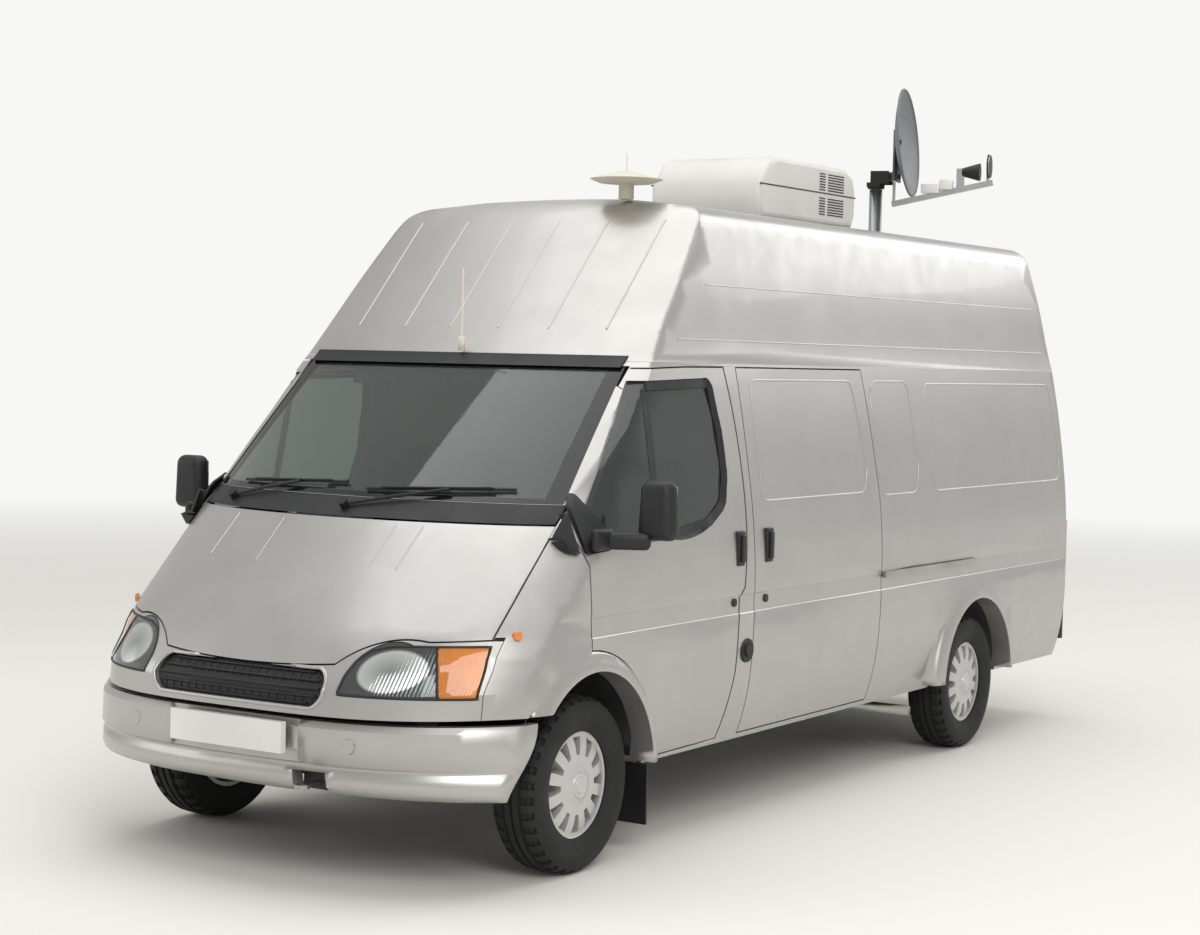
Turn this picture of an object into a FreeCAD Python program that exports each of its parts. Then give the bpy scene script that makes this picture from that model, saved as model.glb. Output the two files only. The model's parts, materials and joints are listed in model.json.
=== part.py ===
"""A long-wheelbase, high-roof panel van fitted out as a mobile office.

Frame: +Z up, ground at Z = 0, the van faces -Y and its left side is +X. The origin is on the ground,
midway between the front plate and the rear bumper. Lengths along the van are given as stations:
millimetres behind the front axle.
"""
import FreeCAD, Part
import math
import os
import re

import Sketcher

V = FreeCAD.Vector

DIMENSIONS = {
    # whole vehicle
    "overall_length": 5830,
    "wheelbase": 3570,
    "front_overhang": 905,
    "front_axle": "=-overall_length / 2 + front_overhang",
    "rear_axle": "=front_axle + wheelbase",
    "track_half": 846,
    "sill_height": 345,
    "gutter_height": 1895,
    "wall": 40,
    "roof_wall": 30,
    "shut_gap": 6,
    # wheels and running gear
    "tyre_radius": 330,
    "tyre_half_width": 97,
    "rim_radius": 203,
    "cover_face": 84,
    "kingpin": 780,
    "arch_radius": 412,
    "arch_height": 345,
    "rail_place": 400,
    "rail_top": 505,
    "floor_height": 520,
    "floor_plate": 36,
    # cab
    "bulkhead_station": 1168,
    "wheel_rim_radius": 200,
    # equipment on the roof
    "roof_crown": 2592,
    "cooler_front": 2440,
    "cooler_length": 1020,
    "cooler_half": 300,
    "cooler_height": 290,
    "mast_station": 4320,
    "mast_radius": 35,
    "mast_top": 2862,
    "dish_pivot_height": 2930,
    "dish_pivot_reach": 45,
    "dish_radius": 290,
    "dish_heading": 14,
    "dome_radius": 155,
}

# The body's half width at each height, from the sill to the swage band and from there to the gutter.
LOWER_SIDE = [(345, 905), (505, 955), (640, 976), (760, 984), (878, 987)]
UPPER_SIDE = [(957, 986), (1085, 984), (1250, 972), (1450, 945), (1650, 912), (1895, 864)]
# The high roof from the gutter over the rounded edge to the crown: height, half width.
ROOF_SIDE = [(1895, 864), (2220, 813), (2430, 772), (2500, 748), (2534, 705), (2551, 620), (2578, 350)]
BAND_DEPTH = 3

# Plan outlines of the body: height, nose station, square, fourth and tenth power bow, tail station.
BODY_LEVELS = [
    (150, -800, 100, 330, 0, 4830),
    (345, -800, 100, 330, 0, 4840),
    (625, -879, 54, 440, 0, 4850),
    (723, -867, 54, 440, 0, 4848),
    (800, -806, 54, 430, 0, 4846),
    (850, -765, 54, 400, 0, 4844),
    (915, -705, 60, 370, 5, 4842),
    (1285, -325, 250, 60, 30, 4826),
    (1370, -210, 235, 45, 35, 4822),
    (1878, 430, 70, 20, 45, 4802),
    (1905, 462, 70, 20, 45, 4800),
    (2440, 968, 70, 20, 45, 4650),
    (2510, 1040, 70, 20, 45, 4622),
    (2550, 1100, 70, 20, 45, 4604),
    (2575, 1170, 70, 20, 45, 4576),
    (2590, 1270, 70, 20, 45, 4540),
    (2620, 1500, 70, 20, 45, 4480),
]
BUMPER_SIDE = [(345, 948), (430, 972), (470, 986), (612, 991)]
BUMPER_LEVELS = [
    (345, -786, 120, 200, 0, 0),
    (358, -824, 110, 230, 0, 0),
    (380, -846, 100, 260, 0, 0),
    (428, -856, 90, 290, 0, 0),
    (440, -838, 80, 300, 0, 0),
    (456, -838, 70, 320, 0, 0),
    (474, -868, 50, 350, 0, 0),
    (590, -868, 45, 365, 0, 0),
    (612, -850, 45, 373, 0, 0),
]

FRONT_DOOR = [
    (-20, 837), (-60, 1395), ((-42, 1462), (-5, 1515)), (255, 1765), ((350, 1838), (480, 1866)),
    (800, 1876), (1108, 1878), ((1146, 1560), (1127, 985)), (1085, 950), (1078, 640), (1028, 372),
    (461, 366), ((316, 691), (-20, 837)),
]
FRONT_WINDOW = [
    (10, 1212), (560, 1212), ((860, 1250), (1000, 1335)), ((1030, 1480), (1022, 1650)), (1004, 1780),
    ((985, 1825), (935, 1836)), (470, 1822), ((425, 1812), (390, 1780)), (40, 1420),
]
SLIDING_DOOR = [(1219, 372), (1219, 1878), (2392, 1878), (2428, 1300), (2428, 372)]
WINDSCREEN = [(-832, 1364), (832, 1364), (776, 1876), (-776, 1876)]
REAR_DOOR = [(5, 648), (784, 648), (784, 1866), (5, 1866)]
REAR_WINDOW = [
    (110, 1370), (650, 1370), ((686, 1384), (700, 1420)), (700, 1750), ((686, 1786), (650, 1800)),
    (150, 1800), ((114, 1786), (100, 1750)), (100, 1420),
]
HEADLAMP = [
    (452, 712), (870, 706), (858, 884), (640, 882), ((500, 862), (450, 770)),
]
GRILLE = [(-300, 660), (300, 660), ((392, 725), (300, 790)), (-300, 790), ((-392, 725), (-300, 660))]
BONNET = [
    (-850, 1286), (-850, 906), (-683, 898), ((-480, 872), (-395, 812)), ((0, 794), (395, 812)),
    ((480, 872), (683, 898)), (850, 906), (850, 1286),
]

doc = FreeCAD.newDocument("mobile_office_van")
sizes = doc.addObject("Spreadsheet::Sheet", "Sizes")
for row, (alias, content) in enumerate(DIMENSIONS.items(), start=1):
    sizes.set(f"A{row}", alias)
    sizes.set(f"B{row}", str(content))
    sizes.setAlias(f"B{row}", alias)
doc.recompute()

sub_parts = []


def size(alias):
    """The sheet's value for an alias, in millimetres."""
    return float(sizes.get(alias))


def formula(text):
    """A formula over the sheet, with each alias given its sheet's name."""
    return re.sub(r"[a-z_]{3,}", lambda word: f"Sizes.{word.group()}", str(text))


def station(distance):
    """The Y of a place this far behind the front axle."""
    return size("front_axle") + distance


def keep(item, label):
    """Names a finished sub-part and marks it for export."""
    item.Label = label
    sub_parts.append(item)
    return item


def feature(label, shape):
    """A sub-part whose shape is made with Part's own functions."""
    item = doc.addObject("Part::Feature", label)
    item.Shape = shape
    return keep(item, label)


# ---------------------------------------------------------------- primitives bound to the sheet

TURNS = {
    "X": FreeCAD.Rotation(V(0, 1, 0), 90),
    "Y": FreeCAD.Rotation(V(1, 0, 0), -90),
    "Z": FreeCAD.Rotation(),
}


def place(item, at):
    for axis, text in zip("xyz", at):
        item.setExpression(f"Placement.Base.{axis}", formula(text))
    return item


def block(name, low, high):
    """A box between two corners, each a formula over the sheet."""
    item = doc.addObject("Part::Box", name)
    for side, start, end in zip(("Length", "Width", "Height"), low, high):
        item.setExpression(side, formula(f"({end}) - ({start})"))
    return place(item, low)


def rod(name, radius, length, at, along="Z"):
    """A cylinder that starts at a point and runs along an axis."""
    item = doc.addObject("Part::Cylinder", name)
    item.Placement.Rotation = TURNS[along]
    item.setExpression("Radius", formula(radius))
    item.setExpression("Height", formula(length))
    return place(item, at)


def taper(name, start_radius, end_radius, length, at, along="Z"):
    """A cone that starts at a point and runs along an axis."""
    item = doc.addObject("Part::Cone", name)
    item.Placement.Rotation = TURNS[along]
    item.setExpression("Radius1", formula(start_radius))
    item.setExpression("Radius2", formula(end_radius))
    item.setExpression("Height", formula(length))
    return place(item, at)


def fuse(name, *items):
    item = doc.addObject("Part::MultiFuse", name)
    item.Shapes = list(items)
    return item


def cut(name, base, tool):
    item = doc.addObject("Part::Cut", name)
    item.Base = base
    item.Tool = tool
    return item


def rounded(name, base, radius, chosen):
    """The base with the chosen edges rounded."""
    doc.recompute()
    item = doc.addObject("Part::Fillet", name)
    item.Base = base
    numbers = [n for n, edge in enumerate(base.Shape.Edges, start=1) if chosen(edge)]
    item.Edges = [(n, radius, radius) for n in numbers]
    return item


def mirrored(name, source):
    item = doc.addObject("Part::Mirroring", name)
    item.Source = source
    item.Normal = V(1, 0, 0)
    return item


def together(label, *items):
    """Like pieces on one body, as solids that don't touch."""
    item = doc.addObject("Part::Compound", label)
    item.Links = list(items)
    return keep(item, label)


def pair(label, source):
    """A piece on the left and its mirror image on the right."""
    return together(label, source, mirrored(label + "_right", source))


# ---------------------------------------------------------------- outlines and skins

def side_view(point):
    return V(0, station(point[0]), point[1])


def front_view(point):
    return V(point[0], 0, point[1])


def closed_wire(steps, view):
    """A closed wire of lines and arcs. A step is a point, or the middle and end of an arc."""
    edges = []
    here = steps[0]
    for step in steps[1:] + [steps[0]]:
        if isinstance(step[0], tuple):
            edges.append(Part.Arc(view(here), view(step[0]), view(step[1])).toShape())
            here = step[1]
        elif step != here:
            edges.append(Part.makeLine(view(here), view(step)))
            here = step
    return Part.Wire(edges)


def prism(steps, view, low, high, grow=0.0):
    """An outline, grown if asked, as a solid between two places along the axis it is seen from."""
    face = Part.Face(closed_wire(steps, view))
    if grow:
        face = face.makeOffset2D(grow)
    axis = V(1, 0, 0) if view is side_view else V(0, 1, 0)
    face.translate(axis * low)
    return face.extrude(axis * (high - low))


def slab(low, high):
    """A plain box between two corners."""
    return Part.makeBox(*[b - a for a, b in zip(low, high)], V(*low))


def spline(points):
    curve = Part.BSplineCurve()
    curve.interpolate([V(*point) for point in points])
    return curve.toShape()


def flip(points):
    return [(-x, y, z) for x, y, z in reversed(points)]


def body_section(inset, bottom):
    """The body's cross-section, seen from the front, as one closed wire."""
    start = size("front_axle") - 1200
    lower = [(half - inset, start, height) for height, half in LOWER_SIDE]
    upper = [(half - inset, start, height) for height, half in UPPER_SIDE]
    roof = []
    for height, half in ROOF_SIDE:
        sink = inset * min(1, max(0, (height - 2300) / 250))
        roof.append((half - inset * min(1, half / 700), start, height - sink))
    lower[0] = (lower[0][0], start, bottom)
    recess = [(x - BAND_DEPTH, start, z) for x, z in ((lower[-1][0], 882), (upper[0][0], 953))]
    crown = (0, start, size("roof_crown") - inset)
    edges = [spline(lower), spline(upper), spline(roof + [crown] + flip(roof))]
    edges += [spline(flip(upper)), spline(flip(lower))]
    steps = [lower[-1], *recess, upper[0]]
    for path in (steps, flip(steps), [flip(lower)[-1], lower[0]]):
        edges += [Part.makeLine(V(*a), V(*b)) for a, b in zip(path, path[1:])]
    return Part.Wire(Part.sortEdges(edges)[0])


def plain_section(side, inset, bottom, top):
    """A section between two heights whose sides follow the points given."""
    start = size("front_axle") - 1200
    points = [(half - inset, start, height) for height, half in side]
    points[0] = (points[0][0], start, bottom)
    points[-1] = (points[-1][0], start, top)
    edges = [spline(points), spline(flip(points))]
    edges.append(Part.makeLine(V(*points[-1]), V(*flip(points)[0])))
    edges.append(Part.makeLine(V(*flip(points)[-1]), V(*points[0])))
    return Part.Wire(Part.sortEdges(edges)[0])


OUTLINE_HALF = [0, 250, 500, 680, 800, 870, 930, 990, 1050]
NOSE_SHARE = 1.4


def plan_outline(level, inset):
    """One plan outline of a skin: a bowed nose, straight sides outside the section, a rounded tail."""
    height, nose, square, fourth, tenth, tail = level
    across = [-half for half in reversed(OUTLINE_HALF[1:])] + OUTLINE_HALF
    front, rear = [], []
    for x in across:
        share = x / 1000
        bow = square * share**2 + fourth * share**4 + tenth * (x / 850) ** 10
        front.append((x, station(nose + bow + inset * NOSE_SHARE), height))
        rear.append((x, station(tail - 40 * (x / 930) ** 12 - inset), height))
    sides = [Part.makeLine(V(*front[0]), V(*rear[0])), Part.makeLine(V(*front[-1]), V(*rear[-1]))]
    return Part.Wire(Part.sortEdges([spline(front), spline(rear), *sides])[0])


def skin(section, levels, inset):
    """The solid inside a section and a stack of plan outlines."""
    length = size("overall_length") + 2000
    along = Part.Face(section).extrude(V(0, length, 0))
    stack = Part.makeLoft([plan_outline(level, inset) for level in levels], True, True)
    return along.common(stack)


SILL = size("sill_height")
GUTTER = size("gutter_height")
WALL = size("wall")
GAP = size("shut_gap")
FAR = 3000

outer = skin(body_section(0, SILL), BODY_LEVELS, 0)
inner = skin(body_section(WALL, SILL - 100), BODY_LEVELS, WALL)
lower_shell = outer.cut(inner).common(slab((-FAR, -FAR, 0), (FAR, FAR, GUTTER)))

door_depth = Part.Face(body_section(70, SILL - 100)).extrude(V(0, size("overall_length"), 0))
front_door_hole = prism(FRONT_DOOR, side_view, 500, 1100, GAP).cut(door_depth)
swing_room = front_door_hole.copy()
swing_room.translate(V(0, 4, 0))
front_door_hole = front_door_hole.fuse(swing_room)
sliding_door_hole = prism(SLIDING_DOOR, side_view, 500, 1100, GAP)


def arch(place_y, radius):
    """The round opening over a wheel, right through one side."""
    return Part.makeCylinder(radius, 700, V(500, place_y, size("arch_height")), V(1, 0, 0))


def flare(place_y, low):
    """The raised lip round a wheel opening, down to a height on its rear side."""
    inner_radius = size("arch_radius")
    points = [(LIP_INSIDE, inner_radius), (1001, inner_radius), (1004, inner_radius + 10), (978, 492),
              (LIP_INSIDE, 492)]
    wire = Part.makePolygon([V(x, 0, r) for x, r in points + points[:1]])
    ring = Part.Face(wire).revolve(V(0, 0, 0), V(1, 0, 0), 360)
    ring.translate(V(0, place_y, size("arch_height")))
    return ring.cut(slab((0, -FAR, -FAR), (FAR, FAR, low)))


def mirror(shape):
    return shape.mirror(V(0, 0, 0), V(1, 0, 0))


def both(label, shape):
    return feature(label, Part.makeCompound([shape, mirror(shape)]))


# ---------------------------------------------------------------- body panels

FRONT_AXLE = size("front_axle")
REAR_AXLE = size("rear_axle")
ARCH = size("arch_radius")
LINER_INSIDE = {FRONT_AXLE: 545, REAR_AXLE: 600}
LIP_INSIDE = 905


def wheel_room(axle):
    """The room of an axle's inner arches and of the lips round its openings."""
    room = arch(axle, ARCH + 14).cut(slab((0, -FAR, -FAR), (LINER_INSIDE[axle], FAR, FAR)))
    lip = Part.makeCylinder(496, 200, V(LIP_INSIDE - 2, axle, size("arch_height")), V(1, 0, 0))
    return Part.makeCompound([room.fuse(lip), mirror(room.fuse(lip))])


def make_bonnet():
    region = prism(BONNET, front_view, -FAR, station(60))
    panel = lower_shell.common(region)
    thin_edge = skin(body_section(5, SILL - 100), BODY_LEVELS, 4)
    thin_edge = thin_edge.common(slab((-FAR, -FAR, 1215), (FAR, FAR, 1400)))
    feature("bonnet", largest(panel.cut(thin_edge)))


def make_nose():
    region = slab((-880, -FAR, 634), (880, station(-300), 900))
    panel = lower_shell.common(region)
    panel = panel.cut(prism(BONNET, front_view, -FAR, station(60), GAP))
    lamp = prism(HEADLAMP, front_view, -FAR, station(-200), 2)
    opening = prism(GRILLE, front_view, -FAR, station(-300))
    feature("nose_panel", panel.cut(lamp).cut(mirror(lamp)).cut(opening))
    behind = skin(body_section(16, SILL - 100), BODY_LEVELS, 14)
    backing = behind.cut(inner).common(slab((-FAR, -FAR, 600), (FAR, station(-200), 900)))
    feature("grille", backing.common(prism(GRILLE, front_view, -FAR, station(-300), -1)))
    lens = lower_shell.common(prism(HEADLAMP, front_view, -FAR, station(-200), -1))
    both("headlamps", lens)


def make_wings():
    high = slab((856, -FAR, 913), (FAR, station(200), 1238))
    low = slab((882, -FAR, 634), (FAR, station(470), 913))
    back = slab((882, station(200), SILL + 20), (FAR, station(470), 700))
    wing = lower_shell.common(high.fuse(low).fuse(back))
    lip = flare(FRONT_AXLE, SILL + 20)
    lip = lip.cut(slab((0, -FAR, 0), (FAR, station(-100), 634)))
    wing = wing.fuse(lip).cut(arch(FRONT_AXLE, ARCH)).cut(front_door_hole)
    wing = wing.cut(slab((0, station(470), 0), (FAR, FAR, FAR)))
    both("front_wings", largest(wing.removeSplitter()))


def largest(shape):
    return max(shape.Solids, key=lambda solid: solid.Volume)


def make_cab_frame():
    frame = lower_shell.common(slab((-FAR, -FAR, 1242), (FAR, station(420), GUTTER)))
    frame = frame.cut(front_door_hole).cut(mirror(front_door_hole))
    frame = frame.cut(slab((-852, -FAR, 1200), (852, station(100), 1361)))
    frame = frame.cut(prism(WINDSCREEN, front_view, -FAR, station(700), 2))
    front_wall = inner.common(slab((-FAR, station(-92), 560), (FAR, station(-72), 1225)))
    feature("cab_frame", Part.makeCompound([frame, largest(front_wall.cut(wheel_room(FRONT_AXLE)))]))
    scuttle = lower_shell.common(slab((-846, -FAR, 1293), (846, station(60), 1359)))
    strip = skin(body_section(-9, SILL), BODY_LEVELS, -9).cut(outer)
    strip = strip.common(slab((-768, -FAR, 1872), (768, station(700), 1918)))
    feature("windscreen_surround", Part.makeCompound([scuttle, strip]))
    pane = skin(body_section(4, SILL), BODY_LEVELS, 4).cut(skin(body_section(12, SILL - 100), BODY_LEVELS, 12))
    feature("windscreen", pane.common(prism(WINDSCREEN, front_view, -FAR, station(700))))


def make_doors():
    frame = prism(FRONT_DOOR, side_view, 500, 1100).cut(door_depth)
    window = prism(FRONT_WINDOW, side_view, 500, 1100)
    door = lower_shell.common(frame).cut(window)
    pane = skin(body_section(12, SILL), BODY_LEVELS, 12).cut(skin(body_section(17, SILL - 100), BODY_LEVELS, 17))
    glass = pane.common(prism(FRONT_WINDOW, side_view, 500, 1100, -1)).cut(door_depth)
    feature("front_door_left", door)
    feature("front_door_right", mirror(door))
    feature("front_door_glass_left", glass)
    feature("front_door_glass_right", mirror(glass))
    feature("sliding_door", lower_shell.common(prism(SLIDING_DOOR, side_view, 500, 1100)))
    leaf = prism(REAR_DOOR, front_view, station(4600), FAR)
    hole = prism(REAR_WINDOW, front_view, station(4600), FAR)
    rear = lower_shell.common(leaf).cut(hole)
    outside = skin(body_section(12, SILL), BODY_LEVELS, 12).common(hole)
    light = outside.cut(skin(body_section(17, SILL - 100), BODY_LEVELS, 17))
    feature("rear_door_left", rear)
    feature("rear_door_right", mirror(rear))
    feature("rear_door_glass_left", light)
    feature("rear_door_glass_right", mirror(light))


REAR_PANEL = 4735


def make_sides():
    region = slab((0, station(424), SILL), (FAR, station(REAR_PANEL), GUTTER))
    side = lower_shell.common(region).cut(front_door_hole)
    side = side.cut(slab((0, -FAR, 0), (FAR, station(474), 1000)))
    side = side.cut(slab((-FAR, station(400), 1300), (795, station(720), 1878)))
    lip = flare(REAR_AXLE, SILL + 20)
    plain = largest(side.fuse(lip).cut(arch(REAR_AXLE, ARCH)).removeSplitter())
    feature("body_side_left", largest(plain.cut(sliding_door_hole)))
    feature("body_side_right", mirror(plain))
    rear = lower_shell.common(slab((-FAR, station(REAR_PANEL + 1), SILL), (FAR, FAR, GUTTER)))
    hole = prism(REAR_DOOR, front_view, station(4600), FAR, GAP)
    middle = slab((-20, station(4600), 642), (20, FAR, 1872))
    lamp = slab((862, station(4811), 714), (952, FAR, 1084))
    for cutter in (hole, mirror(hole), middle, lamp, mirror(lamp)):
        rear = rear.cut(cutter)
    feature("rear_frame", rear)


def make_roof():
    hollow = skin(body_section(size("roof_wall"), SILL - 100), BODY_LEVELS, size("roof_wall"))
    above = slab((-FAR, -FAR, GUTTER + 1), (FAR, FAR, FAR))
    feature("high_roof", outer.cut(hollow).common(above))


def make_floor():
    plate = inner.common(slab((-FAR, station(-60), 520), (FAR, station(4780), 556)))
    for axle in LINER_INSIDE:
        plate = plate.cut(wheel_room(axle))
    feature("floor_pan", plate)
    face = station(size("bulkhead_station"))
    wall = inner.common(slab((-FAR, face, 558), (FAR, face + 20, 2500)))
    feature("bulkhead", wall)


def make_arch_liners():
    """Inner arches: open half drums that keep the wheels clear, and a flap behind each front wheel."""
    shapes = []
    for axle, inside in LINER_INSIDE.items():
        length = LIP_INSIDE - 1 - inside
        drum = Part.makeCylinder(ARCH + 8, length, V(inside, axle, size("arch_height")), V(1, 0, 0))
        room = Part.makeCylinder(ARCH + 2, 1000, V(inside + 6, axle, size("arch_height")), V(1, 0, 0))
        drum = drum.cut(room).cut(slab((0, -FAR, -FAR), (FAR, FAR, SILL + 34)))
        drum = drum.common(inner)
        shapes.append(largest(drum))
    flap = slab((745, station(424), 118), (962, station(432), 352))
    shapes.append(flap)
    feature("arch_liners", Part.makeCompound(shapes + [mirror(shape) for shape in shapes]))


def make_front_bumper():
    solid = skin(plain_section(BUMPER_SIDE, 0, 345, 612), BUMPER_LEVELS, 0)
    core = skin(plain_section(BUMPER_SIDE, 45, 300, 640), [(h - 60 if n == 0 else h, *rest) for n, (h, *rest)
                in enumerate(BUMPER_LEVELS)], 42)
    shape = solid.cut(core)
    end = [(-366, 640), (-505, 330), (600, 330), (600, 640)]
    shape = shape.cut(prism(end, side_view, -1200, 1200))
    recess = slab((-300, -FAR, 448), (300, station(-842), 700))
    notch = slab((262, -FAR, 300), (402, station(-690), 432))
    feature("front_bumper", largest(shape.cut(recess).cut(notch)))


for make in (make_bonnet, make_nose, make_wings, make_cab_frame, make_doors, make_sides, make_roof,
             make_floor, make_arch_liners, make_front_bumper):
    make()

# ---------------------------------------------------------------- fittings on the outside


def make_fittings():
    plate = block("front_plate", (-260, "front_axle - front_overhang", 494),
                  (260, "front_axle - front_overhang + 26", 605))
    rear_plate = block("rear_plate", (-260, "overall_length / 2 - 8", 480), (260, "overall_length / 2", 590))
    together("number_plates", plate, rear_plate)
    eye = fuse("eye_body", rod("eye", 27, 16, (332, "front_axle - 872", 374)),
               block("eye_shank", (322, "front_axle - 852", 374), (342, "front_axle - 700", 390)))
    keep(cut("tow_eye_cut", eye, rod("eye_bore", 14, 60, (332, "front_axle - 872", 350))), "tow_eye")
    step = block("step", (-930, "overall_length / 2 - 72", 430), (930, "overall_length / 2 - 9", 626))
    upright = rounded("step_rounded", step, 26, lambda edge: abs(edge.BoundBox.ZLength - 196) < 1)
    keep(upright, "rear_bumper")
    lamp = block("lamp", (864, "front_axle + 4812", 716), (950, "front_axle + 4858", 1082))
    pair("tail_lamps", lamp)
    track = block("track", (989, "front_axle + 2440", 936), (1004, "front_axle + 3494", 962))
    keep(track, "door_track")


def make_mirror(side, name):
    """A tall mirror head on a stout arm from the door's front corner."""
    head = block(f"{name}_head", (1062, "front_axle + 118", 1236), (1228, "front_axle + 196", 1464))
    head = rounded(f"{name}_round", head, 30, lambda edge: True)
    arm = block(f"{name}_arm", (978, "front_axle - 30", 1196), (1140, "front_axle + 150", 1262))
    whole = fuse(f"{name}_whole", head, arm)
    if side < 0:
        whole = mirrored(f"{name}_mirrored", whole)
    keep(whole, name)


# ---------------------------------------------------------------- running gear


def sketch_on(body, role, name, corners):
    """A closed sketch whose corners are held by formulas over the sheet."""
    drawing = body.newObject("Sketcher::SketchObject", name)
    plane = next(item for item in body.Origin.OriginFeatures if item.Role == role)
    drawing.AttachmentSupport = [(plane, "")]
    drawing.MapMode = "FlatFace"
    count = len(corners)
    ring = [V(math.cos(2 * math.pi * n / count), math.sin(2 * math.pi * n / count)) * 100 for n in range(count)]
    for n in range(count):
        drawing.addGeometry(Part.LineSegment(ring[n], ring[(n + 1) % count]), False)
    for n in range(count):
        drawing.addConstraint(Sketcher.Constraint("Coincident", n, 2, (n + 1) % count, 1))
    for n, corner in enumerate(corners):
        for kind, text in zip(("DistanceX", "DistanceY"), corner):
            number = drawing.addConstraint(Sketcher.Constraint(kind, n, 1, 10.0))
            drawing.setExpression(f"Constraints[{number}]", formula(text))
    return drawing


def turned(name, corners):
    """A body turned about its own X axis; each corner is a place along the axis and a radius."""
    body = doc.addObject("PartDesign::Body", name)
    drawing = sketch_on(body, "XY_Plane", f"{name}_profile", corners)
    turning = body.newObject("PartDesign::Revolution", f"{name}_turned")
    turning.Profile = drawing
    turning.ReferenceAxis = (drawing, ["H_Axis"])
    turning.Angle = 360
    doc.recompute()
    return body


TYRE = [
    ("-tyre_half_width + 12", "rim_radius + 2"), ("-tyre_half_width", "rim_radius + 55"),
    ("-tyre_half_width + 8", "tyre_radius - 16"), ("-tyre_half_width + 30", "tyre_radius"),
    ("tyre_half_width - 30", "tyre_radius"), ("tyre_half_width - 8", "tyre_radius - 16"),
    ("tyre_half_width", "rim_radius + 55"), ("tyre_half_width - 12", "rim_radius + 2"),
]
WHEEL = [
    (-84, "rim_radius"), (-84, "rim_radius - 16"), (6, "rim_radius - 22"), (26, 88), (26, 0.5),
    ("cover_face", 0.5), ("cover_face", 52), ("cover_face - 6", 66), ("cover_face - 12", 150),
    ("cover_face - 22", "rim_radius - 10"), ("cover_face - 12", "rim_radius"),
]
SLOT = [(-10, 112), (10, 112), (24, 178), (-24, 178)]


def make_wheel(name, axle, side):
    """A tyre and its slotted wheel, with the outer face away from the van."""
    tyre = turned(f"tyre_{name}", TYRE)
    wheel = turned(f"wheel_{name}", WHEEL)
    drawing = sketch_on(wheel, "YZ_Plane", f"slot_{name}", SLOT)
    slot = wheel.newObject("PartDesign::Pocket", f"pocket_{name}")
    slot.Profile = drawing
    slot.Type = "ThroughAll"
    slot.Midplane = True
    doc.recompute()
    ring = wheel.newObject("PartDesign::PolarPattern", f"slots_{name}")
    ring.Originals = [slot]
    axis = next(item for item in wheel.Origin.OriginFeatures if item.Role == "X_Axis")
    ring.Axis = (axis, [""])
    ring.Angle = 360
    ring.Occurrences = 12
    wheel.Tip = ring
    for body, label in ((tyre, f"tyre_{name}"), (wheel, f"wheel_{name}")):
        if side < 0:
            body.Placement.Rotation = FreeCAD.Rotation(V(0, 0, 1), 180)
        keep(place(body, (f"{side} * track_half", axle, "tyre_radius")), label)


def make_knuckle(side, name):
    inside = "kingpin - 78"
    parts = [
        rod(f"{name}_drum", 118, 26, ("kingpin + 6", "front_axle", "tyre_radius"), "X"),
        block(f"{name}_web", (inside, "front_axle - 34", "tyre_radius - 118"),
              ("kingpin + 8", "front_axle + 34", "tyre_radius + 118")),
        block(f"{name}_arm", (inside, "front_axle + 20", "tyre_radius - 20"),
              ("kingpin - 54", "front_axle + 112", "tyre_radius + 4")),
    ]
    whole = fuse(f"{name}_whole", *parts)
    if side < 0:
        whole = mirrored(f"{name}_mirrored", whole)
    keep(whole, name)


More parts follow.
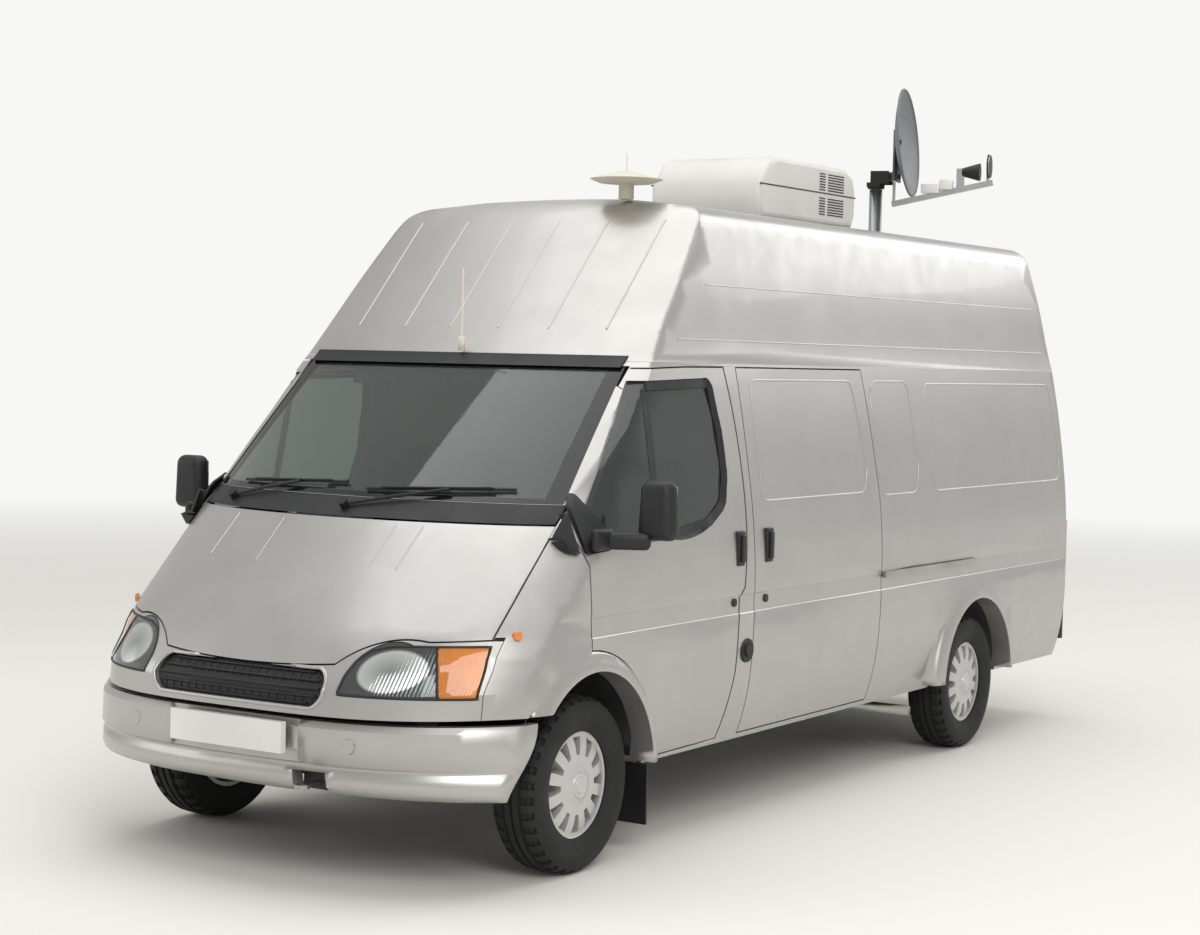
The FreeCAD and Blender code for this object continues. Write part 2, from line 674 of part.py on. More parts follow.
def make_running_gear():
    for axle_name, axle in (("front", "front_axle"), ("rear", "rear_axle")):
        make_wheel(f"{axle_name}_left", axle, 1)
        make_wheel(f"{axle_name}_right", axle, -1)
    make_knuckle(1, "knuckle_left")
    make_knuckle(-1, "knuckle_right")
    beam = block("front_beam", (-600, "front_axle - 50", 232), (600, "front_axle + 50", 300))
    tower = rod("tower", 34, 215, (500, "front_axle", 290))
    top = rod("tower_right", 34, 215, (-500, "front_axle", 290))
    arm = block("lower_arm", (560, "front_axle - 30", 240), (680, "front_axle + 30", 284))
    other = block("lower_arm_right", (-680, "front_axle - 30", 240), (-560, "front_axle + 30", 284))
    keep(fuse("suspension", beam, tower, top, arm, other), "front_suspension")
    tube = rod("axle_tube", 42, 1480, (-740, "rear_axle", "tyre_radius"), "X")
    case = rod("final_drive", 125, 190, (-95, "rear_axle", "tyre_radius"), "X")
    drums = [rod(f"drum_{n}", 130, 50, (x, "rear_axle", "tyre_radius"), "X") for n, x in enumerate((720, -770))]
    shaft = rod("shaft", 36, "wheelbase - 900", (0, "front_axle + 820", "tyre_radius"), "Y")
    springs = [block(f"spring_{n}", (x - 32, "rear_axle - 640", 362), (x + 32, "rear_axle + 640", 396))
               for n, x in enumerate((530, -530))]
    keep(fuse("axle", tube, case, *drums, shaft, *springs), "rear_axle")
    rails = [block(f"rail_{n}", (f"{side} * rail_place - 32", "front_axle - 690", 410),
                   (f"{side} * rail_place + 32", "rear_axle + 1180", "rail_top + 6"))
             for n, side in enumerate((1, -1))]
    bars = [block(f"bar_{n}", (-366, f"front_axle + {y}", 420), (366, f"front_axle + {y + 70}", 500))
            for n, y in enumerate((-680, 640, 1180, 1720, 2260, 2800, 4660))]
    together("chassis_frame", *rails, *bars)
    block_shape = block("engine_block", (-250, "front_axle - 560", 380), (250, "front_axle - 100", 900))
    box_shape = block("gearbox", (-150, "front_axle - 100", 310), (150, "front_axle + 620", 505))
    keep(fuse("engine_whole", block_shape, box_shape), "engine")
    tank = block("tank", (-800, "front_axle + 1350", 270), (-450, "front_axle + 2350", 480))
    keep(rounded("tank_round", tank, 40, lambda edge: edge.BoundBox.YLength > 900), "fuel_tank")
    pipe = rod("pipe", 24, 560, (330, "front_axle + 2980", 250), "X")
    silencer = rod("silencer", 80, 900, (300, "front_axle + 1900", 300), "Y")
    link = rod("link", 24, 1250, (300, "front_axle + 700", 300), "Y")
    tail = rod("tail", 24, 204, (300, "front_axle + 2790", 280), "Y")
    elbow = block("elbow", (272, "front_axle + 2950", 226), (334, "front_axle + 3006", 310))
    keep(fuse("exhaust_whole", pipe, silencer, link, tail, elbow), "exhaust")
    spare = turned("spare_wheel", TYRE)
    spare.Placement.Rotation = FreeCAD.Rotation(V(0, 1, 0), 90)
    keep(place(spare, (0, "rear_axle + 710", 310)), "spare_wheel")


# ---------------------------------------------------------------- cab


def make_cab():
    top = block("dash_top", (-760, "front_axle - 40", 960), (760, "front_axle + 300", 1150))
    hood = rod("dash_hood", 130, 300, (-560, "front_axle + 190", 1130), "X")
    column = doc.addObject("Part::Cylinder", "column")
    column.Radius = 28
    column.Height = 260
    column.Placement.Rotation = COLUMN_TURN
    place(column, (-400, "front_axle + 250", 1010))
    keep(fuse("dash", rounded("dash_round", top, 40, lambda edge: edge.BoundBox.XLength > 1400), hood, column),
         "dashboard")
    rim = doc.addObject("Part::Torus", "wheel_rim")
    rim.setExpression("Radius1", "Sizes.wheel_rim_radius")
    rim.Radius2 = 15
    spoke = block("spoke", (-196, -22, -26), (196, 22, -6))
    hub = rod("hub", 62, 34, (0, 0, -34))
    whole = fuse("steering", rim, spoke, hub)
    whole.Placement = FreeCAD.Placement(V(-400, station(250), 1010) + COLUMN * 305, COLUMN_TURN)
    keep(whole, "steering_wheel")
    seats = []
    for name, low, high in (("driver", -700, -210), ("mate", 40, 700)):
        base = block(f"{name}_base", (low + 30, "front_axle + 700", "floor_height + floor_plate"),
                     (high - 30, "front_axle + 1060", 760))
        cushion = block(f"{name}_cushion", (low, "front_axle + 640", 762), (high, "front_axle + 1130", 890))
        back = block(f"{name}_back", (low, "front_axle + 1010", 892), (high, "front_axle + 1140", 1500))
        cushion = rounded(f"{name}_cushion_round", cushion, 45, lambda edge: edge.BoundBox.ZLength < 1)
        back = rounded(f"{name}_back_round", back, 45, lambda edge: edge.BoundBox.YLength < 1)
        seats += [base, cushion, back]
    together("seats", *seats)


COLUMN = V(0, 0.62, 0.785)
COLUMN_TURN = FreeCAD.Rotation(V(0, 0, 1), COLUMN)


# ---------------------------------------------------------------- roof equipment


COOLER = [
    (30, 0.5), (0, 60), (0, 150), (95, 262), (170, "cooler_height"), ("cooler_length - 110", "cooler_height"),
    ("cooler_length - 26", 250), ("cooler_length", 180), ("cooler_length", 60), ("cooler_length - 30", 0.5),
]


def make_roof_equipment():
    case = doc.addObject("PartDesign::Body", "cooler_case")
    drawing = sketch_on(case, "YZ_Plane", "cooler_profile", COOLER)
    pad = case.newObject("PartDesign::Pad", "cooler_pad")
    pad.Profile = drawing
    pad.Midplane = True
    pad.setExpression("Length", "Sizes.cooler_half * 2")
    place(case, (0, "front_axle + cooler_front", "roof_crown + 3"))
    case = rounded("cooler_soft", case, 26, lambda edge: edge.BoundBox.XLength < 1)
    keep(case, "air_conditioner")
    pole = rod("dome_pole", 32, 89, (360, "front_axle + 1150", 2577))
    disc = taper("dome_disc", "dome_radius - 40", "dome_radius", 16, (360, "front_axle + 1150", 2644))
    cap = taper("dome_cap", "dome_radius", 24, 34, (360, "front_axle + 1150", 2660))
    spike = rod("dome_spike", 3, 76, (360, "front_axle + 1150", 2694))
    whip = rod("whip", 3, 330, (20, "front_axle + 464", 1928))
    collar = rod("whip_collar", 14, 58, (20, "front_axle + 464", 1926))
    dome = fuse("dome", pole, disc, cap, spike)
    together("aerials", dome, fuse("whip_whole", whip, collar))
    foot = rod("mast_foot", 90, 12, (0, "front_axle + mast_station", "roof_crown"))
    mast = rod("mast", "mast_radius", "mast_top - roof_crown", (0, "front_axle + mast_station", "roof_crown"))
    keep(fuse("mast_whole", foot, mast), "dish_mast")
    heading = FreeCAD.Rotation(V(0, 0, 1), size("dish_heading"))
    centre = V(0, station(size("mast_station")), 0)
    cap = rod("fork_cap", 46, 30, (0, 0, "mast_top + 5"))
    cheeks = [block(f"cheek_{n}", (-20, y, "mast_top + 30"), (80, y + 10, "dish_pivot_height + 30"))
              for n, y in enumerate((-62, 52))]
    bridge = block("bridge", (-40, -62, "mast_top + 12"), (30, 62, "mast_top + 36"))
    fork = fuse("fork", cap, bridge, *cheeks)
    lug = block("lug", ("dish_pivot_reach - 23", -46, "dish_pivot_height - 18"), (118, 46, "dish_pivot_height + 24"))
    plate = block("dish_plate", (106, -90, 2906), (118, 90, 3180))
    bowl = doc.addObject("Part::Feature", "dish_bowl")
    bowl.Shape = dish_bowl()
    dish = fuse("dish", lug, plate, bowl)
    arm = block("arm", (94, -14, 2769), (650, 14, 2799))
    arm.Placement.Rotation = FreeCAD.Rotation(V(0, 1, 0), -12)
    post = block("arm_post", (94, -14, 2774), (105, 14, 2904))
    horn = taper("horn", 20, 44, 90, (470, 0, 2955), "X")
    holder = block("horn_post", (440, -12, 2865), (480, 12, 2975))
    plate_out = rod("sub_reflector", 62, 8, (612, 0, 2985), "X")
    stalk = block("stalk", (600, -10, 2895), (614, 10, 2990))
    feed = fuse("feed", arm, post, horn, holder, plate_out, stalk)
    for item, label in ((fork, "dish_fork"), (dish, "dish_reflector"), (feed, "feed_arm")):
        item.Placement = FreeCAD.Placement(centre, heading)
        keep(item, label)


def dish_bowl():
    """A shallow round bowl, leaning back a little, that opens along its own +X."""
    radius = size("dish_radius")
    back = Part.Arc(V(0, 0, 0), V(14, 0, radius / 2), V(56, 0, radius)).toShape()
    front = Part.Arc(V(62, 0, radius), V(20, 0, radius / 2), V(6, 0, 0)).toShape()
    rim = Part.makeLine(V(56, 0, radius), V(62, 0, radius))
    pole = Part.makeLine(V(6, 0, 0), V(0, 0, 0))
    bowl = Part.Face(Part.Wire([back, rim, front, pole])).revolve(V(0, 0, 0), V(1, 0, 0), 360)
    bowl.rotate(V(0, 0, 0), V(0, 1, 0), -5)
    bowl.translate(V(112, 0, 3110))
    return bowl


make_fittings()
make_mirror(1, "door_mirror_left")
make_mirror(-1, "door_mirror_right")
make_running_gear()
make_cab()
make_roof_equipment()
doc.recompute()

failed = [item.Name for item in doc.Objects if {"Invalid", "Error"} & set(item.State)]
broken = [item.Label for item in sub_parts if item.Shape.isNull() or not item.Shape.isValid()]
if failed or broken:
    raise RuntimeError(f"failed objects {failed}, broken sub-parts {broken}")
os.makedirs("parts", exist_ok=True)
for item in sub_parts:
    item.Shape.exportStep(f"parts/{item.Label}.step")
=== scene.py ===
"""The finish of a mobile office van: paint, glass, rubber, lamps, trim, wheels and roof equipment."""
import json
import math

import bmesh
import bpy
from bpy.props import FloatProperty, IntProperty, PointerProperty, StringProperty
from mathutils import Matrix, Vector
from mathutils.bvhtree import BVHTree


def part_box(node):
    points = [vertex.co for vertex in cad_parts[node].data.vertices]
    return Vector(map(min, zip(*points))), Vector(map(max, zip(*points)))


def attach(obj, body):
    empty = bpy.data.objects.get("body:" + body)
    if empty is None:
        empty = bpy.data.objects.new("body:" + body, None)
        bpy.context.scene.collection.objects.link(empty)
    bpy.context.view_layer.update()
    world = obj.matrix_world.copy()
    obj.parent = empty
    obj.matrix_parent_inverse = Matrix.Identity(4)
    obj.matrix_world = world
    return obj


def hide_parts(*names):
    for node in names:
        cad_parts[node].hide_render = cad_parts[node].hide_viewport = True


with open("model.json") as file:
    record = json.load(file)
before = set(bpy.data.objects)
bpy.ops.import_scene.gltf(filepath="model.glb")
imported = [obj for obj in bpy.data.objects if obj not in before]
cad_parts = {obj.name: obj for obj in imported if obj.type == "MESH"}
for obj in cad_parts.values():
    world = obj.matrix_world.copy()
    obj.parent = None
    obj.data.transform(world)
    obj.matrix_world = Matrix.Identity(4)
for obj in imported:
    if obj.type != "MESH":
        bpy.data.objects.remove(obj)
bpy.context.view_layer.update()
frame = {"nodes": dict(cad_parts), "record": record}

bl_info = {
    "name": "Mobile office van finish",
    "version": (1, 0, 0),
    "blender": (4, 5, 0),
    "location": "3D View > Sidebar > Van",
    "description": "Builds the trim, finishes and studio of a high-roof mobile office van",
    "category": "Object",
}

NODES = frame["nodes"]
BODY_OF = {node: body for body, members in frame["record"]["behaviour"]["bodies"].items() for node in members}
FRONT_AXLE = sum(corner.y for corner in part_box("tyre_front_left")) / 2
REAR_AXLE = sum(corner.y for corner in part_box("tyre_rear_left")) / 2
FRONT_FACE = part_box("front_bumper")[0].y
MAST = Vector([sum(values) / 2 for values in zip(*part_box("dish_mast"))])
HEADING = math.radians(14)


def station(distance):
    """The Y of a place this far behind the front axle, in metres."""
    return FRONT_AXLE + distance


# ---------------------------------------------------------------- settings


class VanSizes(bpy.types.PropertyGroup):
    """Sizes of the trim that a user would change."""
    bead: FloatProperty(name="Pressing bead", description="Radius of the raised edge of a side pressing",
                        default=0.005, unit="LENGTH")
    rubber: FloatProperty(name="Window rubber", description="Radius of the rubber round a window",
                          default=0.011, unit="LENGTH")
    slats: IntProperty(name="Grille slats", description="Level slats in the grille", default=5)
    tread: IntProperty(name="Tread blocks", description="Blocks round each tyre shoulder", default=72)


class VanColours(bpy.types.PropertyGroup):
    """Colours of the finishes, as sRGB hex values."""
    paint: StringProperty(name="Paint", description="Silver body paint", default="#BAB8B5")
    plastic: StringProperty(name="Plastic", description="Black moulded trim", default="#17181A")
    glass: StringProperty(name="Glass", description="Tint of the window glass", default="#8E9693")
    amber: StringProperty(name="Amber", description="Indicator lenses", default="#E8860E")
    red: StringProperty(name="Red", description="Tail lamp lenses", default="#A51214")
    cooler: StringProperty(name="Cooler", description="Air conditioner case", default="#D3D2CE")
    cream: StringProperty(name="Cream", description="Dome aerial", default="#DDD6C4")
    dish: StringProperty(name="Dish", description="Dish reflector", default="#6E7274")
    floor: StringProperty(name="Floor", description="Studio floor", default="#E9E7E1")


def sizes():
    return bpy.context.scene.van_sizes


def colours():
    return bpy.context.scene.van_colours


# ---------------------------------------------------------------- materials


def linear(text):
    """An sRGB hex value as linear red, green, blue and alpha."""
    channels = [int(text[n:n + 2], 16) / 255 for n in (1, 3, 5)]
    return [c / 12.92 if c <= 0.04045 else ((c + 0.055) / 1.055) ** 2.4 for c in channels] + [1.0]


def add(tree, kind, values=None, **settings):
    """A node with its settings, and a value or a link for each input named."""
    made = tree.nodes.new(kind)
    for name, setting in settings.items():
        setattr(made, name, setting)
    for name, value in (values or {}).items():
        if isinstance(value, bpy.types.NodeSocket):
            tree.links.new(value, made.inputs[name])
        else:
            made.inputs[name].default_value = value
    return made


def new_material(name):
    """An empty node material, its tree and its Object coordinates."""
    made = bpy.data.materials.new(name)
    made.use_nodes = True
    tree = made.node_tree
    tree.nodes.clear()
    place = add(tree, "ShaderNodeTexCoord").outputs["Object"]
    return made, tree, place


def output(tree, surface):
    add(tree, "ShaderNodeOutputMaterial", {"Surface": surface})


def mottled(tree, place, scale, dark, light):
    """Two shades mixed by soft noise."""
    noise = add(tree, "ShaderNodeTexNoise", {"Vector": place, "Scale": scale, "Detail": 4.0})
    ramp = add(tree, "ShaderNodeValToRGB", {"Fac": noise.outputs["Fac"]})
    ramp.color_ramp.elements[0].position = 0.35
    ramp.color_ramp.elements[1].position = 0.65
    ramp.color_ramp.elements[0].color = linear(dark)
    ramp.color_ramp.elements[1].color = linear(light)
    return ramp.outputs["Color"]


def grained(tree, place, scale, height, depth=0.001):
    """A fine grain as a bump normal."""
    noise = add(tree, "ShaderNodeTexNoise", {"Vector": place, "Scale": scale, "Detail": 3.0})
    return add(tree, "ShaderNodeBump", {"Height": noise.outputs["Fac"], "Strength": height,
                                        "Distance": depth}).outputs["Normal"]


def varied(tree, place, scale, low, high):
    """Roughness that wanders between two values."""
    noise = add(tree, "ShaderNodeTexNoise", {"Vector": place, "Scale": scale, "Detail": 5.0})
    return add(tree, "ShaderNodeMapRange", {"Value": noise.outputs["Fac"], "From Min": 0.3, "From Max": 0.7,
                                            "To Min": low, "To Max": high}).outputs["Result"]


def shade(text, factor):
    """A hex value made darker or lighter."""
    return "#" + "".join(f"{min(255, int(int(text[n:n + 2], 16) * factor)):02X}" for n in (1, 3, 5))


def simple(name, base, metallic, rough, grain, coat=0.0, spread=0.04):
    """A finish of one colour family: shade drift, roughness drift and a grain of the size given in mm."""
    made, tree, place = new_material(name)
    surface = add(tree, "ShaderNodeBsdfPrincipled", {
        "Base Color": mottled(tree, place, 3.0, shade(base, 1 - spread), base),
        "Metallic": metallic, "Roughness": varied(tree, place, 9.0, rough * 0.9, rough * 1.12),
        "Normal": grained(tree, place, 1000 / grain[0], grain[1]), "Coat Weight": coat,
        "Coat Roughness": 0.06})
    output(tree, surface.outputs["BSDF"])
    return made


def paint():
    """Metallic two-coat enamel: soft satin base with fine flakes under a thin clear coat."""
    return simple("silver_enamel", colours().paint, 0.78, 0.36, (1.2, 0.05), coat=0.3, spread=0.02)


def moulded_black():
    """Grained polypropylene, moulded and unpainted: dull black with a broad grey sheen."""
    return simple("black_polypropylene", colours().plastic, 0.0, 0.5, (1.6, 0.25))


def rubber():
    """Extruded rubber: near black with a slight sheen along its round edge."""
    return simple("extruded_rubber", "#0F1011", 0.0, 0.42, (2.0, 0.1))


def tyre_rubber():
    """Vulcanised rubber: dull, faintly dusty on the tread."""
    return simple("vulcanised_rubber", "#1B1B1C", 0.0, 0.72, (3.0, 0.3), spread=0.25)


def wheel_plastic():
    """Painted ABS wheel cover: light silver, satin."""
    return simple("painted_abs", "#C9C9C7", 0.35, 0.36, (1.5, 0.06))


def chassis_paint():
    """Wax-coated black chassis paint, dusty."""
    return simple("chassis_enamel", "#1A1A1B", 0.1, 0.6, (4.0, 0.3), spread=0.3)


def cast_iron():
    """Bare cast iron: grey-brown and coarse."""
    return simple("cast_iron", "#3B3835", 0.6, 0.62, (5.0, 0.5), spread=0.2)


def zinc_steel():
    """Zinc-plated pressed steel: bright, slightly clouded."""
    return simple("zinc_plated_steel", "#B7B5AE", 0.95, 0.3, (6.0, 0.08), spread=0.1)


def alloy():
    """Anodised aluminium tube: pale grey, satin."""
    return simple("anodised_aluminium", "#B9BBBC", 0.9, 0.34, (1.2, 0.06))


def cooler_shell():
    """Vacuum-formed ABS: warm light grey, low gloss."""
    return simple("formed_abs", colours().cooler, 0.0, 0.42, (2.5, 0.1), spread=0.04)


def cream_shell():
    """Glass-fibre radome in gel coat: cream, soft gloss."""
    return simple("gel_coat", colours().cream, 0.0, 0.35, (3.0, 0.06))


def dish_paint():
    """Powder-coated steel: mid grey, fine texture."""
    return simple("powder_coat", colours().dish, 0.15, 0.48, (1.5, 0.2))


def plate_white():
    """Acrylic number plate, blank white."""
    return simple("white_acrylic", "#E4E3DE", 0.0, 0.3, (2.0, 0.03), coat=0.3)


def grey_enamel():
    """Plain grey enamel of the cab wall and load floor."""
    return simple("grey_enamel", "#9A9C9B", 0.0, 0.5, (3.0, 0.1))


def dash_plastic():
    """Grained soft-touch ABS of the dashboard."""
    return simple("grained_abs", "#6F7172", 0.0, 0.6, (2.2, 0.3))


def seat_cloth():
    """Woven tweed seat cloth: threads about 2 mm apart, drawn as wide as they show."""
    made, tree, place = new_material("tweed_cloth")
    threads = [add(tree, "ShaderNodeTexWave", {"Vector": place, "Scale": 160.0}, bands_direction=axis).outputs["Fac"]
               for axis in ("X", "Z")]
    weave = add(tree, "ShaderNodeMath", {0: threads[0], 1: threads[1]}, operation="MULTIPLY").outputs["Value"]
    normal = add(tree, "ShaderNodeBump", {"Height": weave, "Strength": 0.4, "Distance": 0.001}).outputs["Normal"]
    surface = add(tree, "ShaderNodeBsdfPrincipled", {
        "Base Color": mottled(tree, place, 60.0, "#2E3238", "#4A4F55"), "Roughness": 0.9, "Normal": normal,
        "Sheen Weight": 0.3})
    output(tree, surface.outputs["BSDF"])
    return made


def tinted_glass():
    """Toughened float glass with a grey-green tint: clear gloss, darkened by its depth."""
    made, tree, place = new_material("toughened_glass")
    surface = add(tree, "ShaderNodeBsdfPrincipled", {
        "Base Color": mottled(tree, place, 1.5, shade(colours().glass, 0.96), colours().glass),
        "Roughness": 0.02, "IOR": 1.5, "Transmission Weight": 0.92,
        "Normal": grained(tree, place, 2.0, 0.02)})
    output(tree, surface.outputs["BSDF"])
    return made


def border_glass():
    """Laminated windscreen with a fired black border printed round its edge."""
    made, tree, place = new_material("laminated_glass")
    split = add(tree, "ShaderNodeSeparateXYZ", {"Vector": place})
    side = add(tree, "ShaderNodeMath", {0: split.outputs["X"]}, operation="ABSOLUTE").outputs["Value"]
    lean = add(tree, "ShaderNodeMath", {0: split.outputs["Z"], 1: 0.105, 2: side}, operation="MULTIPLY_ADD")
    edges = (
        add(tree, "ShaderNodeMath", {0: lean.outputs["Value"], 1: 0.912}, operation="GREATER_THAN"),
        add(tree, "ShaderNodeMath", {0: split.outputs["Z"], 1: 1.862}, operation="GREATER_THAN"),
        add(tree, "ShaderNodeMath", {0: split.outputs["Z"], 1: 1.380}, operation="LESS_THAN"),
    )
    border = edges[0].outputs["Value"]
    for edge in edges[1:]:
        border = add(tree, "ShaderNodeMath", {0: border, 1: edge.outputs["Value"]}, operation="MAXIMUM").outputs["Value"]
    clear = add(tree, "ShaderNodeBsdfPrincipled", {
        "Base Color": linear(shade(colours().glass, 1.12)), "Roughness": 0.02, "IOR": 1.5,
        "Transmission Weight": 0.95, "Normal": grained(tree, place, 2.0, 0.02)})
    fired = add(tree, "ShaderNodeBsdfPrincipled", {
        "Base Color": linear("#141516"), "Roughness": 0.12, "IOR": 1.5})
    both = add(tree, "ShaderNodeMixShader", {0: border, 1: clear.outputs["BSDF"], 2: fired.outputs["BSDF"]})
    output(tree, both.outputs["Shader"])
    return made


def lens(name, base, pitch, metallic):
    """A fluted acrylic lens over a bright bowl: upright flutes of a pitch in metres break the highlights."""
    made, tree, place = new_material(name)
    flutes = add(tree, "ShaderNodeTexWave", {"Vector": place, "Scale": 0.314 / pitch, "Detail": 0.0},
                 bands_direction="X").outputs["Fac"]
    normal = add(tree, "ShaderNodeBump", {"Height": flutes, "Strength": 0.35, "Distance": 0.004}).outputs["Normal"]
    surface = add(tree, "ShaderNodeBsdfPrincipled", {
        "Base Color": mottled(tree, place, 4.0, shade(base, 0.82), base), "Metallic": metallic,
        "Roughness": 0.16, "Normal": normal, "Coat Weight": 1.0, "Coat Roughness": 0.02})
    output(tree, surface.outputs["BSDF"])
    return made


def clear_lens():
    """Glass headlamp lens over a silvered bowl in a dark bezel. The bowl's colour is painted from mid grey at its
    middle to near white towards its rim, a painted shade and highlight; the dark edge past that is the bezel's own
    colour.
    """
    made = lens("headlamp_glass", "#B9BEBE", 0.012, 0.8)
    tree = made.node_tree
    place = next(node for node in tree.nodes if node.bl_idname == "ShaderNodeTexCoord").outputs["Object"]
    shader = next(node for node in tree.nodes if node.bl_idname == "ShaderNodeBsdfPrincipled")
    split = add(tree, "ShaderNodeSeparateXYZ", {"Vector": place})
    side = add(tree, "ShaderNodeMath", {0: split.outputs["X"]}, operation="ABSOLUTE").outputs["Value"]
    across = add(tree, "ShaderNodeMapRange", {"Value": side, "From Min": 0.605, "From Max": 0.725}, clamp=False)
    upward = add(tree, "ShaderNodeMapRange", {"Value": split.outputs["Z"], "From Min": 0.797, "From Max": 0.872},
                 clamp=False)
    spot = add(tree, "ShaderNodeCombineXYZ", {"X": across.outputs["Result"], "Y": upward.outputs["Result"]})
    reach = add(tree, "ShaderNodeVectorMath", {0: spot.outputs["Vector"]}, operation="LENGTH").outputs["Value"]
    # Painted shade in the middle of the bowl and a painted highlight towards its rim, then the bezel's own dark colour.
    ramp = add(tree, "ShaderNodeValToRGB", {"Fac": reach})
    for element, position, tone in zip(ramp.color_ramp.elements, (0.86, 0.97), ("#D4D8D6", "#4B5050")):
        element.position = position
        element.color = linear(tone)
    centre = ramp.color_ramp.elements.new(0.0)
    centre.color = linear("#8D9291")
    tree.links.new(ramp.outputs["Color"], shader.inputs["Base Color"])
    return made


def amber_lens():
    """Amber acrylic indicator lens."""
    return lens("amber_acrylic", colours().amber, 0.008, 0.0)


def red_lens():
    """Red acrylic tail lamp lens."""
    return lens("red_acrylic", colours().red, 0.008, 0.0)


def mirror_glass():
    """Silvered mirror glass."""
    return simple("silvered_glass", "#C9CDD0", 1.0, 0.03, (40.0, 0.005))


def studio_floor():
    """Painted studio floor: pale, matt, and lost in white away from the van."""
    made, tree, place = new_material("studio_floor")
    far = add(tree, "ShaderNodeVectorMath", {0: place}, operation="LENGTH").outputs["Value"]
    fade = add(tree, "ShaderNodeMapRange", {"Value": far, "From Min": 6.0, "From Max": 20.0}).outputs["Result"]
    seen = add(tree, "ShaderNodeLightPath")
    straight = add(tree, "ShaderNodeMath", {0: seen.outputs["Is Camera Ray"], 1: seen.outputs["Is Glossy Ray"]},
                   operation="MAXIMUM").outputs["Value"]
    straight = add(tree, "ShaderNodeMath", {0: straight, 1: seen.outputs["Is Transmission Ray"]},
                   operation="MAXIMUM").outputs["Value"]
    mix = add(tree, "ShaderNodeMath", {0: fade, 1: straight}, operation="MULTIPLY").outputs["Value"]
    matt = add(tree, "ShaderNodeBsdfPrincipled", {"Base Color": linear(colours().floor), "Roughness": 0.7})
    white = add(tree, "ShaderNodeEmission", {"Color": linear("#F7F7F5"), "Strength": 1.0})
    both = add(tree, "ShaderNodeMixShader", {0: mix, 1: matt.outputs["BSDF"], 2: white.outputs["Emission"]})
    output(tree, both.outputs["Shader"])
    return made


MAKERS = {
    "silver_paint": paint, "black_plastic": moulded_black, "tinted_glass": tinted_glass,
    "lamp_glass": clear_lens, "red_lens": red_lens, "chassis_black": chassis_paint,
    "engine_grey": cast_iron, "tyre_rubber": tyre_rubber, "wheel_silver": wheel_plastic,
    "seat_fabric": seat_cloth, "dash_grey": dash_plastic, "grey_panel": grey_enamel,
    "plate_white": plate_white, "bright_steel": zinc_steel, "cooler_white": cooler_shell,
    "aerial_cream": cream_shell, "dish_grey": dish_paint, "mast_alloy": alloy,
    "amber": amber_lens, "rubber": rubber, "mirror": mirror_glass, "border": border_glass,
}
made_materials = {}


def finish(name):
    """The finish of that name, made once."""
    if name not in made_materials:
        made_materials[name] = MAKERS[name]()
    return made_materials[name]


# ---------------------------------------------------------------- building helpers


def settle(piece, body, material, replaced=()):
    """Gives a finished piece its material, the body it rides on and the slot it is painted with."""
    piece.data.materials.clear()
    piece.data.materials.append(finish(material))
    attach(piece, body)
    if replaced:
        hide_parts(*replaced)
    return piece


def from_bmesh(name, mesh, smooth_angle=35):
    """A new object from a bmesh, with soft shading under an angle in degrees."""
    data = bpy.data.meshes.new(name)
    bmesh.ops.recalc_face_normals(mesh, faces=mesh.faces)
    mesh.to_mesh(data)
    mesh.free()
    piece = bpy.data.objects.new(name, data)
    bpy.context.scene.collection.objects.link(piece)
    data.shade_smooth()
    data.set_sharp_from_angle(angle=math.radians(smooth_angle))
    return piece


def box_in(mesh, centre, size, turn=None, soft=0.0, segments=2):
    """A box with softened edges, added to a bmesh."""
    made = bmesh.ops.create_cube(mesh, size=1.0)["verts"]
    bmesh.ops.scale(mesh, vec=Vector(size), verts=made)
    if soft:
        edges = list({edge for vert in made for edge in vert.link_edges})
        done = bmesh.ops.bevel(mesh, geom=edges, offset=soft, offset_type="OFFSET", segments=segments,
                               profile=0.5, affect="EDGES", material=-1)
        made = list({vert for face in done["faces"] for vert in face.verts})
    if turn is not None:
        bmesh.ops.rotate(mesh, cent=(0, 0, 0), matrix=turn, verts=made)
    bmesh.ops.translate(mesh, vec=Vector(centre), verts=made)
    return made


def drum_in(mesh, start, end, radius, end_radius=None, segments=24):
    """A closed drum or cone between two points, added to a bmesh."""
    start, end = Vector(start), Vector(end)
    run = end - start
    turn = run.to_track_quat("Z", "Y").to_matrix().to_4x4()
    return bmesh.ops.create_cone(mesh, cap_ends=True, segments=segments, radius1=radius,
                                 radius2=radius if end_radius is None else end_radius, depth=run.length,
                                 matrix=Matrix.Translation((start + end) / 2) @ turn)["verts"]


def tube(name, points, radius, closed=False, resolution=3):
    """A round bead along a line of points, as a mesh."""
    curve = bpy.data.curves.new(name, "CURVE")
    curve.dimensions = "3D"
    curve.bevel_depth = radius
    curve.bevel_resolution = resolution
    curve.use_fill_caps = not closed
    line = curve.splines.new("POLY")
    line.points.add(len(points) - 1)
    for point, place in zip(line.points, points):
        point.co = (*place, 1)
    line.use_cyclic_u = closed
    held = bpy.data.objects.new(name + "_line", curve)
    bpy.context.scene.collection.objects.link(held)
    data = bpy.data.meshes.new_from_object(held.evaluated_get(bpy.context.evaluated_depsgraph_get()))
    bpy.data.objects.remove(held)
    piece = bpy.data.objects.new(name, data)
    bpy.context.scene.collection.objects.link(piece)
    data.shade_smooth()
    return piece


def join(name, pieces):
    """Several new meshes as one object."""
    mesh = bmesh.new()
    for piece in pieces:
        mesh.from_mesh(piece.data)
        bpy.data.objects.remove(piece)
    data = bpy.data.meshes.new(name)
    mesh.to_mesh(data)
    mesh.free()
    joined = bpy.data.objects.new(name, data)
    bpy.context.scene.collection.objects.link(joined)
    data.shade_smooth()
    data.set_sharp_from_angle(angle=math.radians(35))
    return joined


